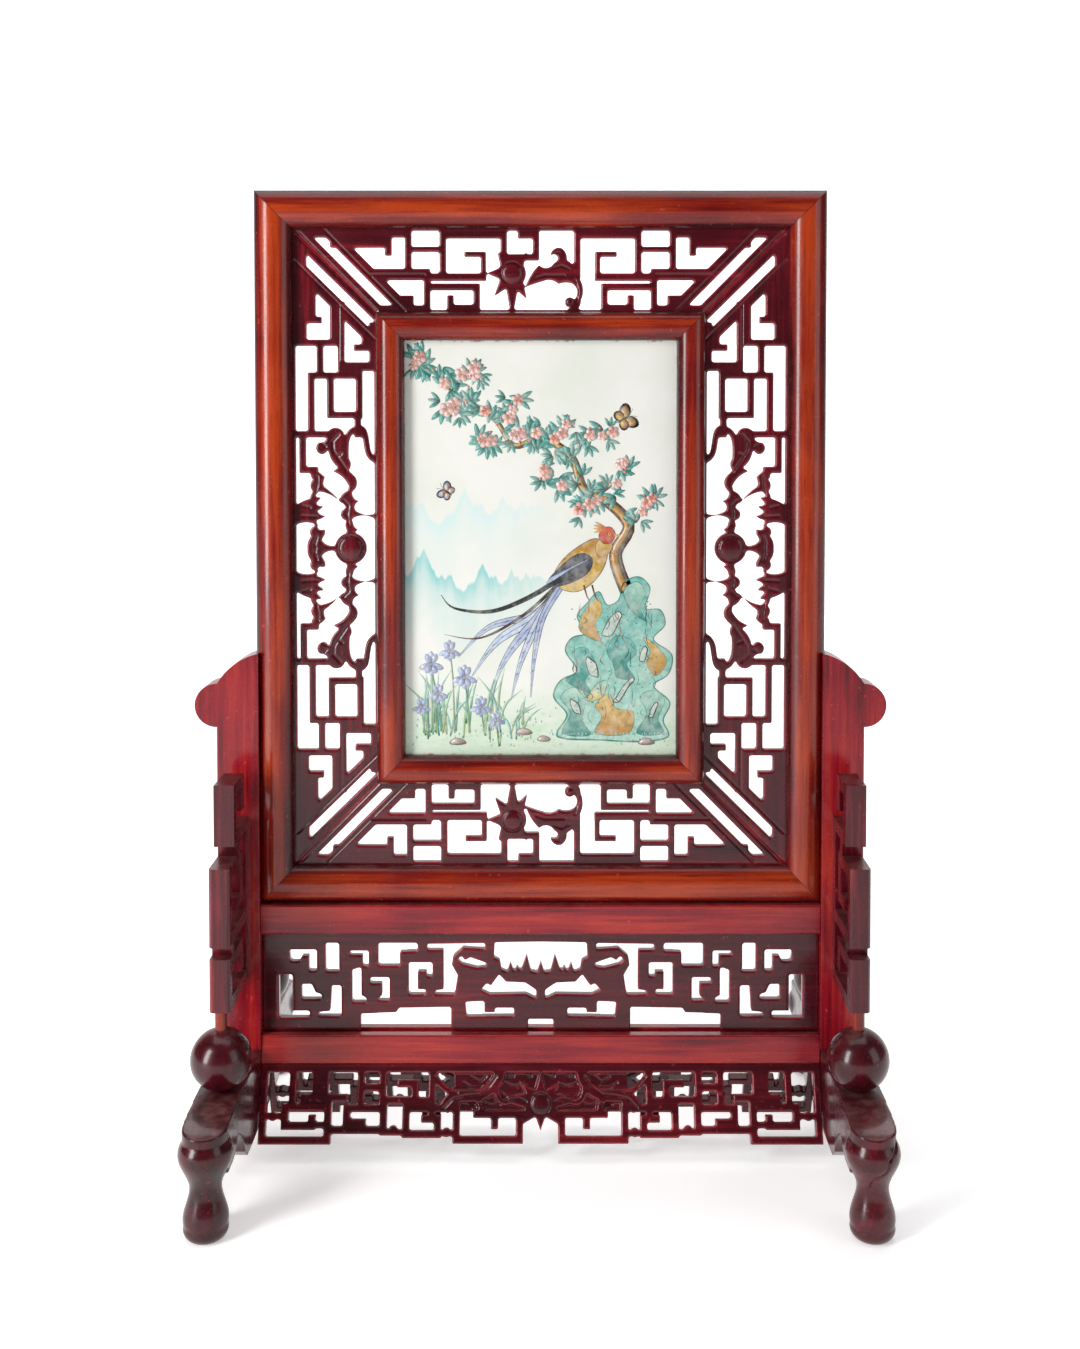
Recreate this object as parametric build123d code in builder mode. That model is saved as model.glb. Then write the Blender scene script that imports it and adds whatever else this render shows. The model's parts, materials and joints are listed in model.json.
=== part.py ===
from build123d import *
import os
from math import atan2, cos, degrees, radians, sin, sqrt

# Table screen: a porcelain plaque in a double frame of carved hardwood, which stands
# loose between the grooved posts of a footed stand.
# X runs along the screen, -Y is the front, Z is up and 0 is the table top.

# Outer and inner frame of the screen
screen_width = 341.0
screen_height = 428.0
outer_face = 22.0
band = 50.0
inner_face = 17.0

# Sections of the mouldings: depths from the front crown to the flat back
outer_crown_y = -10.0
outer_spring_y = -3.0
outer_back_y = 7.5
inner_crown_y = -9.0
inner_spring_y = -2.5
inner_back_y = 8.5

# Stub tenons hidden in the mitres
mitre_tenon_y = -2.0
mitre_tenon_thick = 3.0
mitre_tenon_wide = 8.0
mitre_tenon_tip = 5.0
mitre_tenon_root = 8.0

# Fret panels in the band between the two frames
fret_front_y = 0.0
fret_thick = 5.0
fret_tongue = 2.0
fret_lip = 1.4
fret_bar = 3.9
fret_thin_bar = 3.1
fret_double_bar = 7.3
fret_mitre_bar = 5.0
fret_disc_radius = 8.4
fret_curl_radius = 3.0
side_disc_radius = 9.6
fret_ribbon = 3.4
fret_rows = 11
short_fret_columns = 33
long_fret_columns = 43

# Plaque and what holds it from behind
plaque_lap = 4.5
plaque_front_y = 0.5
plaque_thick = 4.0
backing_thick = 1.5
bead_wide = 6.0

# Posts with their ears: the screen's edges stand this deep in the posts' grooves
groove_seat = 2.0
post_width = 25.0
post_depth = 21.0
ear_inner_z = 302.5
ear_outer_z = 284.0
ear_bulge = 3.0
knob_radius = 13.0
knob_z = 271.5
post_tenon_long = 28.0
post_tenon_wide = 13.0
post_tenon_deep = 13.0

# Rails
rail_depth = 18.0
upper_rail_top_z = 150.3
upper_rail_height = 17.8
lower_rail_top_z = 71.0
lower_rail_height = 17.5
rail_tenon_long = 10.0
rail_tenon_thick = 8.0
rail_tenon_shoulder = 1.5
rail_groove_deep = 2.5

# Pierced waist panel between the rails
waist_thick = 5.5
waist_columns = 37.5
waist_rows = 13.5

# Aprons, front and back, leaning outward from under the lower rail
apron_top_z = 53.5
apron_top_y = 8.5
apron_lean = 21.5
apron_height = 45.0
apron_thick = 6.0
apron_bar = 4.3
apron_thin_bar = 3.4
apron_pearl_radius = 7.6
apron_bud_radius = 2.6
apron_body_wide = 6.5
apron_board_recess = 2.0
apron_columns = 37.5
apron_rows = 10.2

# Shoe feet with turned ends
foot_top_z = 63.0
foot_floor_z = 18.0
foot_block_half = 48.0
foot_cusp_rise = 6.0
foot_cusp_run = 8.0
big_arch_top = 25.0
big_arch_run = 19.0
big_arch_fullness = 6.0
small_arch_run = 14.0
shoulder_run = 24.0
shoulder_fall = 1.0
shoulder_slope = 0.3
collar_top_z = 58.6
collar_bottom_z = 53.6
leg_y = 100.0
bun_radius = 12.4
bun_z = 11.5
bun_seat_radius = 8.5
bun_bowl_radius = 11.2
bun_ridge = 0.5
bun_ridge_z = 6.4
neck_radius = 8.8
neck_z = 29.0
bulb_radius = 14.8
bulb_z = 45.0
leg_top_radius = 12.0
leg_top_z = 54.5

# Drum balls, their dowels and the standing spandrels
ball_radius = 17.4
ball_flat = 0.5
dowel_radius = 3.4
dowel_foot_deep = 8.0
dowel_spandrel_deep = 5.0
spandrel_thick = 11.7
spandrel_bottom_z = 107.4
spandrel_reach = 52.9
spandrel_bar = 7.0
spandrel_edge = 1.4
spandrel_link = 5.5
low_tier_top = 30.4
low_scroll_end = 16.0
mid_tier_bottom = 37.0
mid_tier_top = 82.1
mid_scroll_end = (31.0, 56.0)
high_tier_bottom = 90.6
high_tier_top = 126.0
high_tier_reach = 38.5
high_scroll_end = (14.0, 109.0)
scroll_inset = 20.0
low_link_out = 41.9
high_link_out = 25.0

# Clearances: the running fit of the screen in its grooves, and glued or dry joints
slot_clearance = 0.3
joint_clearance = 0.1

screen_bottom_z = upper_rail_top_z
screen_mid_z = screen_bottom_z + screen_height / 2
outer_half_x = screen_width / 2
outer_half_z = screen_height / 2
fret_half_x = outer_half_x - outer_face
fret_half_z = outer_half_z - outer_face
inner_half_x = fret_half_x - band
inner_half_z = fret_half_z - band
sight_half_x = inner_half_x - inner_face
sight_half_z = inner_half_z - inner_face
fret_back_y = fret_front_y + fret_thick
post_gap = screen_width - 2 * groove_seat
post_inner_x = post_gap / 2
post_outer_x = post_inner_x + post_width
post_x = post_inner_x + post_width / 2
post_face_y = post_depth / 2
upper_rail_bottom_z = upper_rail_top_z - upper_rail_height
lower_rail_bottom_z = lower_rail_top_z - lower_rail_height
ball_z = foot_top_z + ball_radius - ball_flat
dowel_y = post_face_y + spandrel_reach - spandrel_bar / 2

# Each side of the screen's frames has a plane whose X runs along the side, whose Y
# points outward and whose Z points to the front
screen_middle = (0, 0, screen_mid_z)
top_side = Plane(origin=screen_middle, x_dir=(1, 0, 0), z_dir=(0, -1, 0))
left_side = Plane(origin=screen_middle, x_dir=(0, 0, 1), z_dir=(0, -1, 0))

os.makedirs("parts", exist_ok=True)


def finish(name, piece):
    """Label a finished piece and write it."""
    piece.label = name
    export_step(piece, f"parts/{name}.step")


def mitre_boxes(half_x, half_z, face, signs, grow, mode):
    """Stub tenons across the mitres at the given corners, or the mortises for them."""
    length = mitre_tenon_tip + mitre_tenon_root + 2 * grow
    shift = (mitre_tenon_tip - mitre_tenon_root) / 2
    for sign_x, sign_z in signs:
        x = sign_x * (half_x - face / 2 + shift)
        z = screen_mid_z + sign_z * (half_z - face / 2)
        with Locations((x, mitre_tenon_y, z)):
            Box(length, mitre_tenon_thick + 2 * grow, mitre_tenon_wide + 2 * grow, mode=mode)


def moulding(side, half_along, half_across, face, depths, groove_across, rebate):
    """A mitred half-round member whose outer edge lies at half_across on its side."""
    crown_y, spring_y, back_y = depths
    outer, inner = half_across, half_across - face
    section = Plane(
        origin=side.from_local_coords((-half_along, 0, 0)),
        x_dir=side.y_dir,
        z_dir=side.x_dir,
    )
    with BuildPart() as member:
        with BuildSketch(section):
            with BuildLine():
                Polyline((inner, -spring_y), (inner, -back_y), (outer, -back_y), (outer, -spring_y))
                ThreePointArc(
                    (outer, -spring_y), ((outer + inner) / 2, -crown_y), (inner, -spring_y)
                )
            make_face()
            with Locations((groove_across, -(fret_front_y + fret_back_y) / 2)):
                Rectangle(
                    2 * (fret_tongue + joint_clearance),
                    fret_thick + 2 * joint_clearance,
                    mode=Mode.SUBTRACT,
                )
            if rebate:
                with Locations((inner, -plaque_front_y)):
                    Rectangle(
                        2 * (plaque_lap + joint_clearance),
                        back_y,
                        align=(Align.CENTER, Align.MAX),
                        mode=Mode.SUBTRACT,
                    )
        extrude(amount=2 * half_along)
        for end, slope in ((-1, side.x_dir), (1, side.x_dir * -1)):
            corner = side.from_local_coords((end * half_along, outer, 0))
            split(bisect_by=Plane(origin=corner, z_dir=side.y_dir + slope), keep=Keep.TOP)
    return member.part


def frame_of_four(prefix, half_x, half_z, face, depths, groove_inward, rebate):
    """Two rails and two stiles, mitred, with stub tenons on the rails."""
    edge_x = half_x - face if groove_inward else half_x
    edge_z = half_z - face if groove_inward else half_z
    with BuildPart() as rail:
        add(moulding(top_side, half_x, half_z, face, depths, edge_z, rebate))
        mitre_boxes(half_x, half_z, face, ((-1, 1), (1, 1)), 0, Mode.ADD)
    with BuildPart() as stile:
        add(moulding(left_side, half_z, half_x, face, depths, edge_x, rebate))
        mitre_boxes(
            half_x, half_z, face, ((-1, -1), (-1, 1)), joint_clearance, Mode.SUBTRACT
        )
    with BuildPart() as low_rail:
        mirror(rail.part, about=Plane.XY.offset(screen_mid_z))
    with BuildPart() as right_stile:
        mirror(stile.part, about=Plane.YZ)
    finish(f"{prefix}_rail_top", rail.part)
    finish(f"{prefix}_rail_bottom", low_rail.part)
    finish(f"{prefix}_stile_left", stile.part)
    finish(f"{prefix}_stile_right", right_stile.part)


def bars(paths, width, place):
    """Straight bars along the runs of each path; square ends run on to close corners."""
    for path in paths:
        for start, end in zip(path, path[1:]):
            a, b = Vector(*place(*start)), Vector(*place(*end))
            turn = degrees(atan2((b - a).Y, (b - a).X))
            with Locations(Location((a + b) * 0.5, (0, 0, turn))):
                Rectangle((b - a).length + width, width)


def blocks(corners, place):
    """Plain rectangles, each from one grid corner to the opposite one."""
    for left, top, right, bottom in corners:
        a, b = Vector(*place(left, top)), Vector(*place(right, bottom))
        with Locations(Location((a + b) * 0.5)):
            Rectangle(abs((b - a).X), abs((b - a).Y))


def ribbons(paths, width, place):
    """Bands of even width along a smooth curve through each path's points."""
    for path in paths:
        with BuildLine() as centre:
            Spline(*[place(*point) for point in path])
        trace(centre.line, line_width=width)


def figures(outlines, place):
    """Carved figures edged with a chain of arcs; tips and arc middles take turns."""
    for outline in outlines:
        spots = [place(*spot) for spot in outline]
        with BuildLine() as border:
            for tip, middle, end in zip(spots[::2], spots[1::2], spots[2::2] + spots[:1]):
                ThreePointArc(tip, middle, end)
        make_face(border.edges())


def pierce(outlines, place):
    """Openings with straight edges."""
    for outline in outlines:
        with BuildLine() as border:
            Polyline(*[place(*point) for point in outline], close=True)
        make_face(border.edges(), mode=Mode.SUBTRACT)


def flames(centre, radius, rays, width, place):
    """Pointed tongues of flame round a disc; each ray is an angle and its reach."""
    x, y = place(*centre)
    for angle, reach in rays:
        with Locations(Location((x, y, 0), (0, 0, angle))):
            with Locations((radius * 0.6, 0)):
                Triangle(a=width, b=reach, c=reach, align=(Align.CENTER, Align.MIN), rotation=-90)


# Corner of every fret panel: the bar along the mitre and the double bar beside it
corner_mitre_bar = ((0.8, 0), (11.8, 11))
corner_double_bar = ((4.35, 0), (15.35, 11))

# Short fret, above and below the plaque. Columns run from the mitre to the centre line,
# rows from the outer edge inward, both in grid steps.
short_bars = [
    ((15.4, 0.5), (15.4, 6)),
    ((17.9, 6), (17.9, 10.4)),
    ((20, 0.5), (20, 6.4)),
    ((20, 0.9), (28.1, 0.9), (28.1, 3.8)),
    ((17.9, 7.7), (24.5, 7.7), (24.5, 10.6)),
    ((21, 10.4), (21, 9.2)),
]
short_thin_bars = [
    ((15.4, 2.75), (20, 2.75)),
    ((23.2, 3.4), (25.4, 3.4), (25.4, 6.4)),
]
short_blocks = [
    (1, 0, 15.4, 1.2),
    (5, 0, 13.2, 2.55),
    (12.3, 2, 13.2, 3.6),
    (10.2, 5.3, 18.3, 6.8),
    (18.3, 5.9, 25.8, 6.9),
    (13.2, 8.8, 16.1, 11),
    (11, 10.1, 18.3, 11),
    (20.6, 10, 24.9, 11),
]
# The left half's last hook holds the disc up, the right half's bar holds the tail
short_left_bars = [((30.4, 0.9), (32.4, 0.9), (32.4, 3.8), (28.1, 3.8))]
short_right_bars = [((37.9, 3.8), (37.9, 6.2))]
short_disc = (29.2, 5.9)
short_flames = [(-128, 13), (-90, 24), (-60, 13.5), (180, 11), (125, 11), (55, 11)]
short_figures = [
    [
        (31, 7.7), (31.5, 6.5), (32.8, 4.8), (33.6, 5.2), (34.8, 4.5), (35.3, 4), (34.3, 3.6),
        (34.7, 2.8), (35.8, 2.6), (36.4, 3.3), (36.5, 4.2), (37.2, 4.7), (37.6, 5.9),
        (38.5, 7.2), (38.4, 9.4), (38, 10.6), (37.2, 11.2), (37.1, 10.3), (37.4, 9.4),
        (37.9, 8.4), (37.1, 7.2), (36.2, 7.1), (35.4, 7.3), (34.5, 6.8), (33.4, 6.9), (32.4, 7.2),
    ],
]
short_curl = (36.9, 9.7)

# Long fret, left and right of the plaque, in the same kind of grid
long_bars = [
    ((15.3, 0.5), (15.3, 6.2)),
    ((15, 6.35), (18.6, 6.35)),
    ((13, 10.5), (18.5, 10.5)),
    ((15.3, 3.55), (19.7, 3.55)),
    ((19.7, 2.35), (19.7, 8.7), (25, 8.7), (25, 4.9), (19.7, 4.9)),
    ((19.7, 2.35), (27.6, 2.35)),
    ((27.6, 0.3), (27.6, 5.6)),
    ((27.6, 1.2), (32.4, 1.2), (32.4, 2.8)),
    ((25, 8.5), (27.6, 8.5)),
]
long_blocks = [
    (1.5, 0, 15.6, 1.8),
    (6.5, 0, 12.7, 3),
    (11.8, 2, 12.7, 3.8),
    (9.8, 4.9, 15.6, 6.8),
    (13.6, 9.05, 16.4, 9.95),
    (15.5, 8, 16.4, 9.95),
    (17.9, 6, 19.1, 11),
]
long_disc = (43, 7.5)
# A cloud on the centre line, two clouds along the outer edge, one inside and a beast
long_figures = [
    [
        (46, 3), (45.4, 3.4), (44.9, 4.2), (44.4, 3.3), (43.7, 3.6), (43.1, 4.4), (43.6, 6),
        (43, 6.2), (42.4, 6), (42.4, 4.1), (41.9, 3.6), (41.4, 3.9), (40.5, 4.1), (40.8, 2.8),
        (42.2, 2), (43.7, 1.8), (44.7, 2.3), (45.6, 2.2),
    ],
    [
        (40, 0), (39.5, 2), (40.1, 3.4), (39.6, 3), (39.2, 3), (39, 3.6), (38.6, 4.2), (38.3, 3.3),
        (37.9, 3), (37.7, 3.5), (37.2, 3.9), (37.2, 3.2), (36.9, 2.9), (36.5, 3.3), (36.1, 3.6),
        (36.4, 1.7), (37.4, 0), (38.7, -0.1),
    ],
    [
        (36.7, 2.4), (35.9, 2.8), (35.3, 3.3), (35.6, 4.5), (36.9, 6.3), (35.4, 4.9), (34.6, 3.9),
        (34, 3.9), (33.4, 4.1), (33, 3.7), (32.4, 2.8), (32.9, 2.3), (33.7, 2.6), (34.5, 2.2),
        (35.3, 2.6), (36.1, 2.2),
    ],
    [
        (40.5, 7), (40.7, 7.7), (40.5, 8.5), (39.8, 7.8), (39, 7.7), (38.7, 8.3), (39.2, 11),
        (38.7, 11.1), (38.2, 11), (38.4, 9.2), (37.9, 8.1), (37.1, 8.1), (36.6, 8.7), (36.2, 7.9),
        (35.1, 7.8), (34.9, 7.5), (35.2, 7.2), (35.6, 6.5), (36.6, 6), (36.9, 6.5), (37.6, 6.9),
        (38.4, 6.2), (39.2, 7), (39.8, 6.8),
    ],
    [
        (35.5, 7.4), (34.8, 8.2), (33.5, 8.2), (33, 7.8), (32.5, 7.2), (32, 7.5), (31.3, 7.5),
        (30.2, 7), (27.8, 6.7), (26.8, 6), (27.4, 4.5), (28.2, 4.4), (28.7, 3.4), (29.6, 3),
        (30.3, 3.9), (30, 4.3), (29.5, 4.6), (31.2, 5.1), (32.3, 6.2), (32.3, 5.6), (32.6, 5.2),
        (33.4, 6.5), (34.6, 7.3), (35, 7.2),
    ],
]
long_ribbons = [((31.6, 7), (29.3, 6.9), (27.1, 7.8), (26.8, 8.9), (28.5, 9.6), (30.5, 10.1), (31.2, 11.2))]
long_arm = ((40, 7.4), (43, 7.4))

# Openings of the waist panel: columns from the post to the centre line, rows from the top
waist_openings = [
    [(3.6, 2.55), (7.3, 2.55), (7.3, 5.4), (6.25, 5.4), (6.25, 3.4), (5.3, 3.4), (5, 4.1), (3.75, 4.1)],
    [(8.5, 1.67), (10.3, 1.67), (10.3, 5.1), (10.7, 5.46), (8.5, 5.46)],
    [(11.75, 2.7), (14.3, 2.7), (14.3, 4.8), (13.5, 4.8), (13.5, 3.3), (11.75, 3.3)],
    [(15.6, 1.67), (20.9, 1.67), (20.9, 2.75), (18.5, 2.85), (18.5, 4.72), (15.6, 4.72)],
    [(2.2, 5.9), (4, 5.9), (4, 10.8), (6.3, 10.8), (6.3, 11.7), (2.2, 11.7)],
    [(5.25, 7.2), (6.6, 7.2), (7.1, 8.3), (7.95, 8.6), (7.95, 9.2), (5.25, 9.2)],
    [(9.3, 7.4), (10.6, 7.4), (10.6, 11.5), (7.4, 11.5), (7.5, 11), (9.1, 10.8)],
    [(12.05, 5.3), (13.3, 4.9), (13.3, 8.7), (14, 9.1), (14, 9.6), (12.05, 9.6)],
    [(14.5, 6.3), (17.1, 6.3), (17.1, 9.4), (15.3, 9.4), (16.1, 8.7), (16.1, 7.1), (14.5, 7.1)],
    [(13.2, 11.2), (18, 11), (18.4, 10.4), (25.4, 10.3), (25.4, 14), (13.2, 14)],
    [
        (19.7, 4.3), (22.9, 4.3), (22.9, 6.15), (22.1, 6.15), (22.1, 5.5), (20.9, 5.5),
        (20.9, 7.9), (22, 7.9), (22, 8.6), (19.7, 8.6),
    ],
    [
        (22.2, 1.8), (30, 1.7), (30, 2.5), (27, 2.3), (25.7, 3.4), (25.5, 4.6), (26.3, 6),
        (25.9, 8.6), (23.2, 8.6), (23.2, 8.1), (24.4, 7.9), (24.4, 2.6), (22.2, 2.6),
    ],
    [(26.3, 3.9), (26.8, 3.4), (27.3, 4), (28, 3.6), (30.3, 4.4), (29.9, 4.9), (28.9, 5), (26.9, 4.5)],
    [
        (31.3, 1.6), (37.5, 1.5), (37.5, 4.2), (37, 5.6), (36.2, 5.5), (35.6, 3.2), (34.8, 5.5),
        (34.3, 4.8), (33.9, 5.6), (33.4, 4.2), (33, 5.6), (32.2, 5.2), (32, 4), (31.2, 3.6),
    ],
    [
        (29.4, 8), (30.2, 7.1), (30.8, 7.4), (31.9, 5.9), (32.8, 6.9), (35.4, 7), (36.9, 8),
        (36.9, 9.2), (35.5, 8.5), (30.6, 8.6),
    ],
    [
        (27.3, 9.6), (29.9, 9.5), (29.9, 11), (31.3, 11), (31.3, 10.4), (33.9, 10.4),
        (33.9, 11.5), (27.5, 11.6),
    ],
    [(35.8, 11.9), (37.5, 11.9), (37.5, 14), (35.8, 14)],
]

# Apron: columns from the foot to the centre line, rows from the top edge down the slope
apron_blocks = [(0, 0, 37.5, 1.1)]
apron_bars = [
    ((0.55, 0.6), (0.55, 9.6), (9.2, 9.6), (9.2, 5.5)),
    ((3.5, 5.5), (9.2, 5.5)),
    ((3.5, 5.5), (3.5, 7.8), (7.1, 7.8), (7.1, 6.9)),
    ((7.5, 0.6), (7.5, 4.3), (6, 4.3)),
    ((4.4, 0.6), (4.4, 5.5)),
    ((8.7, 1.5), (8.7, 4.3), (11.3, 4.3)),
    ((13.5, 0.6), (13.5, 5.6)),
    ((16.4, 0.6), (16.4, 4.6), (20.7, 4.6), (20.7, 2.5), (18.8, 2.5)),
    ((23, 0.6), (23, 5.7)),
    ((9.2, 8.3), (16.6, 8.3), (16.6, 5.6), (11.7, 5.6), (11.7, 7.4), (13.8, 7.4)),
    ((19.6, 5.6), (26.3, 5.6)),
    ((19.6, 5.6), (19.6, 8.8), (23.8, 8.8), (23.8, 6.9), (22.1, 6.9)),
    ((26.3, 5.6), (26.3, 9.5), (34.7, 9.5), (34.7, 6.3), (29, 6.3)),
    ((31.4, 6.3), (31.4, 7.7)),
    ((13.5, 3), (16.4, 3)),
    ((34.7, 6.3), (36, 6.3)),
]
apron_thin_bars = [
    ((0.55, 6.6), (3.5, 6.6)),
    ((7.1, 7.7), (9.2, 7.7)),
    ((7.5, 3.2), (8.7, 3.2)),
    ((16.6, 8.6), (19.6, 8.6)),
    ((23.8, 8.7), (26.3, 8.7)),
    ((20.7, 4.6), (23, 4.6)),
]
apron_buds = [(17.9, 8.3), (25, 8.6), (1.9, 6.6)]
# The board behind the beasts and its few small holes
apron_board = [(25.9, 0.5, 37.5, 5.9)]
apron_holes = [
    [(33, 1.3), (34, 1.3), (34, 1.8), (33, 1.8)],
    [(35.6, 1.3), (36.3, 1.3), (36.3, 1.8), (35.6, 1.8)],
    [(26.2, 3.7), (27, 3.7), (27, 4.3), (26.2, 4.3)],
    [(27.8, 5), (29, 5), (29, 5.4), (27.8, 5.4)],
]
apron_pearl = (37.5, 5)
apron_rays = [(90, 14), (45, 13), (0, 14), (-45, 13), (-90, 11), (135, 13), (180, 14), (-135, 13)]
apron_body = [((24.5, 6), (26, 4.2), (29, 4), (31.5, 2.4), (32, 0.8))]
apron_ribbons = [
    ((23.2, 1.4), (24.6, 3), (26.6, 3.8)),
    ((28, 4), (29.6, 5.4), (29.4, 6.4)),
    ((31.6, 3), (33, 4.8), (34.8, 4.2), (36.2, 5)),
]


def fret_panel(side, half_along, half_across, columns, draw):
    """A mitred board of the band, sawn out to its pattern, with a tongue on each edge."""
    step_along, step_across = half_along / columns, band / fret_rows

    def place(column, row):
        return -half_along + column * step_along, half_across - row * step_across

    inner_edge = half_across - band
    with BuildPart() as board:
        with BuildSketch(side.offset(-fret_back_y)):
            draw(place)
            for edge, depth in ((half_across - fret_lip, fret_lip), (inner_edge - fret_tongue, 0)):
                with Locations((0, edge)):
                    Rectangle(
                        2 * half_along + 4 * fret_tongue,
                        fret_lip + fret_tongue,
                        align=(Align.CENTER, Align.MIN),
                    )
            with BuildLine():
                Polyline(
                    (-half_along - fret_tongue, half_across + fret_tongue),
                    (half_along + fret_tongue, half_across + fret_tongue),
                    (half_along - band - fret_tongue, inner_edge - fret_tongue),
                    (-half_along + band + fret_tongue, inner_edge - fret_tongue),
                    close=True,
                )
            make_face(mode=Mode.INTERSECT)
        extrude(amount=fret_thick)
    return board.part


def draw_short_fret(place):
    """Both halves of a short panel and the disc and beast at its centre."""
    bars([corner_mitre_bar], fret_mitre_bar, place)
    bars([corner_double_bar], fret_double_bar, place)
    bars(short_bars, fret_bar, place)
    bars(short_thin_bars, fret_thin_bar, place)
    blocks(short_blocks, place)
    mirror(about=Plane.YZ)
    bars(short_left_bars + short_right_bars, fret_bar, place)
    with Locations(place(*short_disc)):
        Circle(fret_disc_radius)
    flames(short_disc, fret_disc_radius, short_flames, fret_disc_radius, place)
    figures(short_figures, place)
    with Locations(place(*short_curl)):
        Circle(fret_curl_radius)


def draw_long_fret(place):
    """Both halves of a long panel, with the disc among clouds at its centre."""
    bars([corner_mitre_bar], fret_mitre_bar, place)
    bars([corner_double_bar], fret_double_bar, place)
    bars(long_bars, fret_bar, place)
    blocks(long_blocks, place)
    bars([long_arm], fret_bar, place)
    figures(long_figures, place)
    ribbons(long_ribbons, fret_ribbon, place)
    mirror(about=Plane.YZ)
    with Locations(place(*long_disc)):
        Circle(side_disc_radius)


outer_depths = (outer_crown_y, outer_spring_y, outer_back_y)
inner_depths = (inner_crown_y, inner_spring_y, inner_back_y)
frame_of_four("outer", outer_half_x, outer_half_z, outer_face, outer_depths, True, False)
frame_of_four("inner", inner_half_x, inner_half_z, inner_face, inner_depths, False, True)

short_fret = fret_panel(top_side, fret_half_x, fret_half_z, short_fret_columns, draw_short_fret)
long_fret = fret_panel(left_side, fret_half_z, fret_half_x, long_fret_columns, draw_long_fret)
with BuildPart() as fret_bottom:
    mirror(short_fret, about=Plane.XY.offset(screen_mid_z))
with BuildPart() as fret_right:
    mirror(long_fret, about=Plane.YZ)
finish("fret_top", short_fret)
finish("fret_bottom", fret_bottom.part)
finish("fret_left", long_fret)
finish("fret_right", fret_right.part)

# Plaque, backing board and the four beads that keep them in the rebate
plaque_half_x = sight_half_x + plaque_lap
plaque_half_z = sight_half_z + plaque_lap
backing_y = plaque_front_y + plaque_thick + joint_clearance
bead_y = backing_y + backing_thick + joint_clearance
bead_thick = inner_back_y - bead_y

with BuildPart() as plaque:
    with Locations((0, plaque_front_y, screen_mid_z)):
        Box(
            2 * plaque_half_x,
            plaque_thick,
            2 * plaque_half_z,
            align=(Align.CENTER, Align.MIN, Align.CENTER),
        )
    fillet(plaque.edges().filter_by(Axis.Y), 1.0)
finish("plaque", plaque.part)

with BuildPart() as back_board:
    with Locations((0, backing_y, screen_mid_z)):
        Box(
            2 * plaque_half_x,
            backing_thick,
            2 * plaque_half_z,
            align=(Align.CENTER, Align.MIN, Align.CENTER),
        )
finish("back_board", back_board.part)


def retaining_bead(side, half_along, half_across):
    """A mitred strip in the rebate, bevelled towards the backing board."""
    section = Plane(
        origin=side.from_local_coords((-half_along, 0, 0)),
        x_dir=side.y_dir,
        z_dir=side.x_dir,
    )
    with BuildPart() as bead:
        with BuildSketch(section):
            with BuildLine():
                Polyline(
                    (half_across, -bead_y),
                    (half_across, -bead_y - bead_thick),
                    (half_across - bead_wide / 2, -bead_y - bead_thick),
                    (half_across - bead_wide, -bead_y - bead_thick / 2),
                    (half_across - bead_wide, -bead_y),
                    close=True,
                )
            make_face()
        extrude(amount=2 * half_along)
        for end, slope in ((-1, side.x_dir), (1, side.x_dir * -1)):
            corner = side.from_local_coords((end * half_along, half_across, 0))
            split(bisect_by=Plane(origin=corner, z_dir=side.y_dir + slope), keep=Keep.TOP)
    return bead.part


bead_top = retaining_bead(top_side, plaque_half_x, plaque_half_z)
bead_left = retaining_bead(left_side, plaque_half_z, plaque_half_x)
with BuildPart() as bead_bottom:
    mirror(bead_top, about=Plane.XY.offset(screen_mid_z))
with BuildPart() as bead_right:
    mirror(bead_left, about=Plane.YZ)
finish("back_bead_top", bead_top)
finish("back_bead_bottom", bead_bottom.part)
finish("back_bead_left", bead_left)
finish("back_bead_right", bead_right.part)


def rail_tenons(top_z, height, grow, mode):
    """The two end tenons of a rail, or the mortises in the posts."""
    tenon_height = height - 2 * rail_tenon_shoulder
    for end in (-1, 1):
        with Locations((end * (post_inner_x + rail_tenon_long / 2), 0, top_z - height / 2)):
            Box(
                rail_tenon_long + 2 * grow,
                rail_tenon_thick + 2 * grow,
                tenon_height + 2 * grow,
                mode=mode,
            )


def rail(top_z, height, groove_z):
    """A rail between the posts with a groove that takes the waist panel's edge."""
    with BuildPart() as bar:
        with Locations((0, 0, top_z)):
            Box(post_gap, rail_depth, height, align=(Align.CENTER, Align.CENTER, Align.MAX))
        chamfer(bar.edges().filter_by(Axis.X), 0.8)
        with Locations((0, 0, groove_z)):
            Box(
                post_gap,
                waist_thick + 2 * joint_clearance,
                2 * (rail_groove_deep + joint_clearance),
                mode=Mode.SUBTRACT,
            )
    return bar.part


# The lower rail's tenon stands in the post only, above the foot
lower_tenon_height = lower_rail_top_z - foot_top_z
with BuildPart() as upper_rail:
    add(rail(upper_rail_top_z, upper_rail_height, upper_rail_bottom_z))
    rail_tenons(upper_rail_top_z, upper_rail_height, 0, Mode.ADD)
finish("upper_rail", upper_rail.part)

with BuildPart() as lower_rail:
    add(rail(lower_rail_top_z, lower_rail_height, lower_rail_top_z))
    rail_tenons(lower_rail_top_z, lower_tenon_height, 0, Mode.ADD)
finish("lower_rail", lower_rail.part)

# Waist panel: a flat board pierced with the saw, its edges in the rails and posts
waist_height = upper_rail_bottom_z - lower_rail_top_z
waist_step_x = post_gap / 2 / waist_columns
waist_step_z = waist_height / waist_rows


def waist_place(column, row):
    """The panel's X and height above the lower rail at a grid point."""
    return -post_gap / 2 + column * waist_step_x, waist_height - row * waist_step_z


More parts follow.
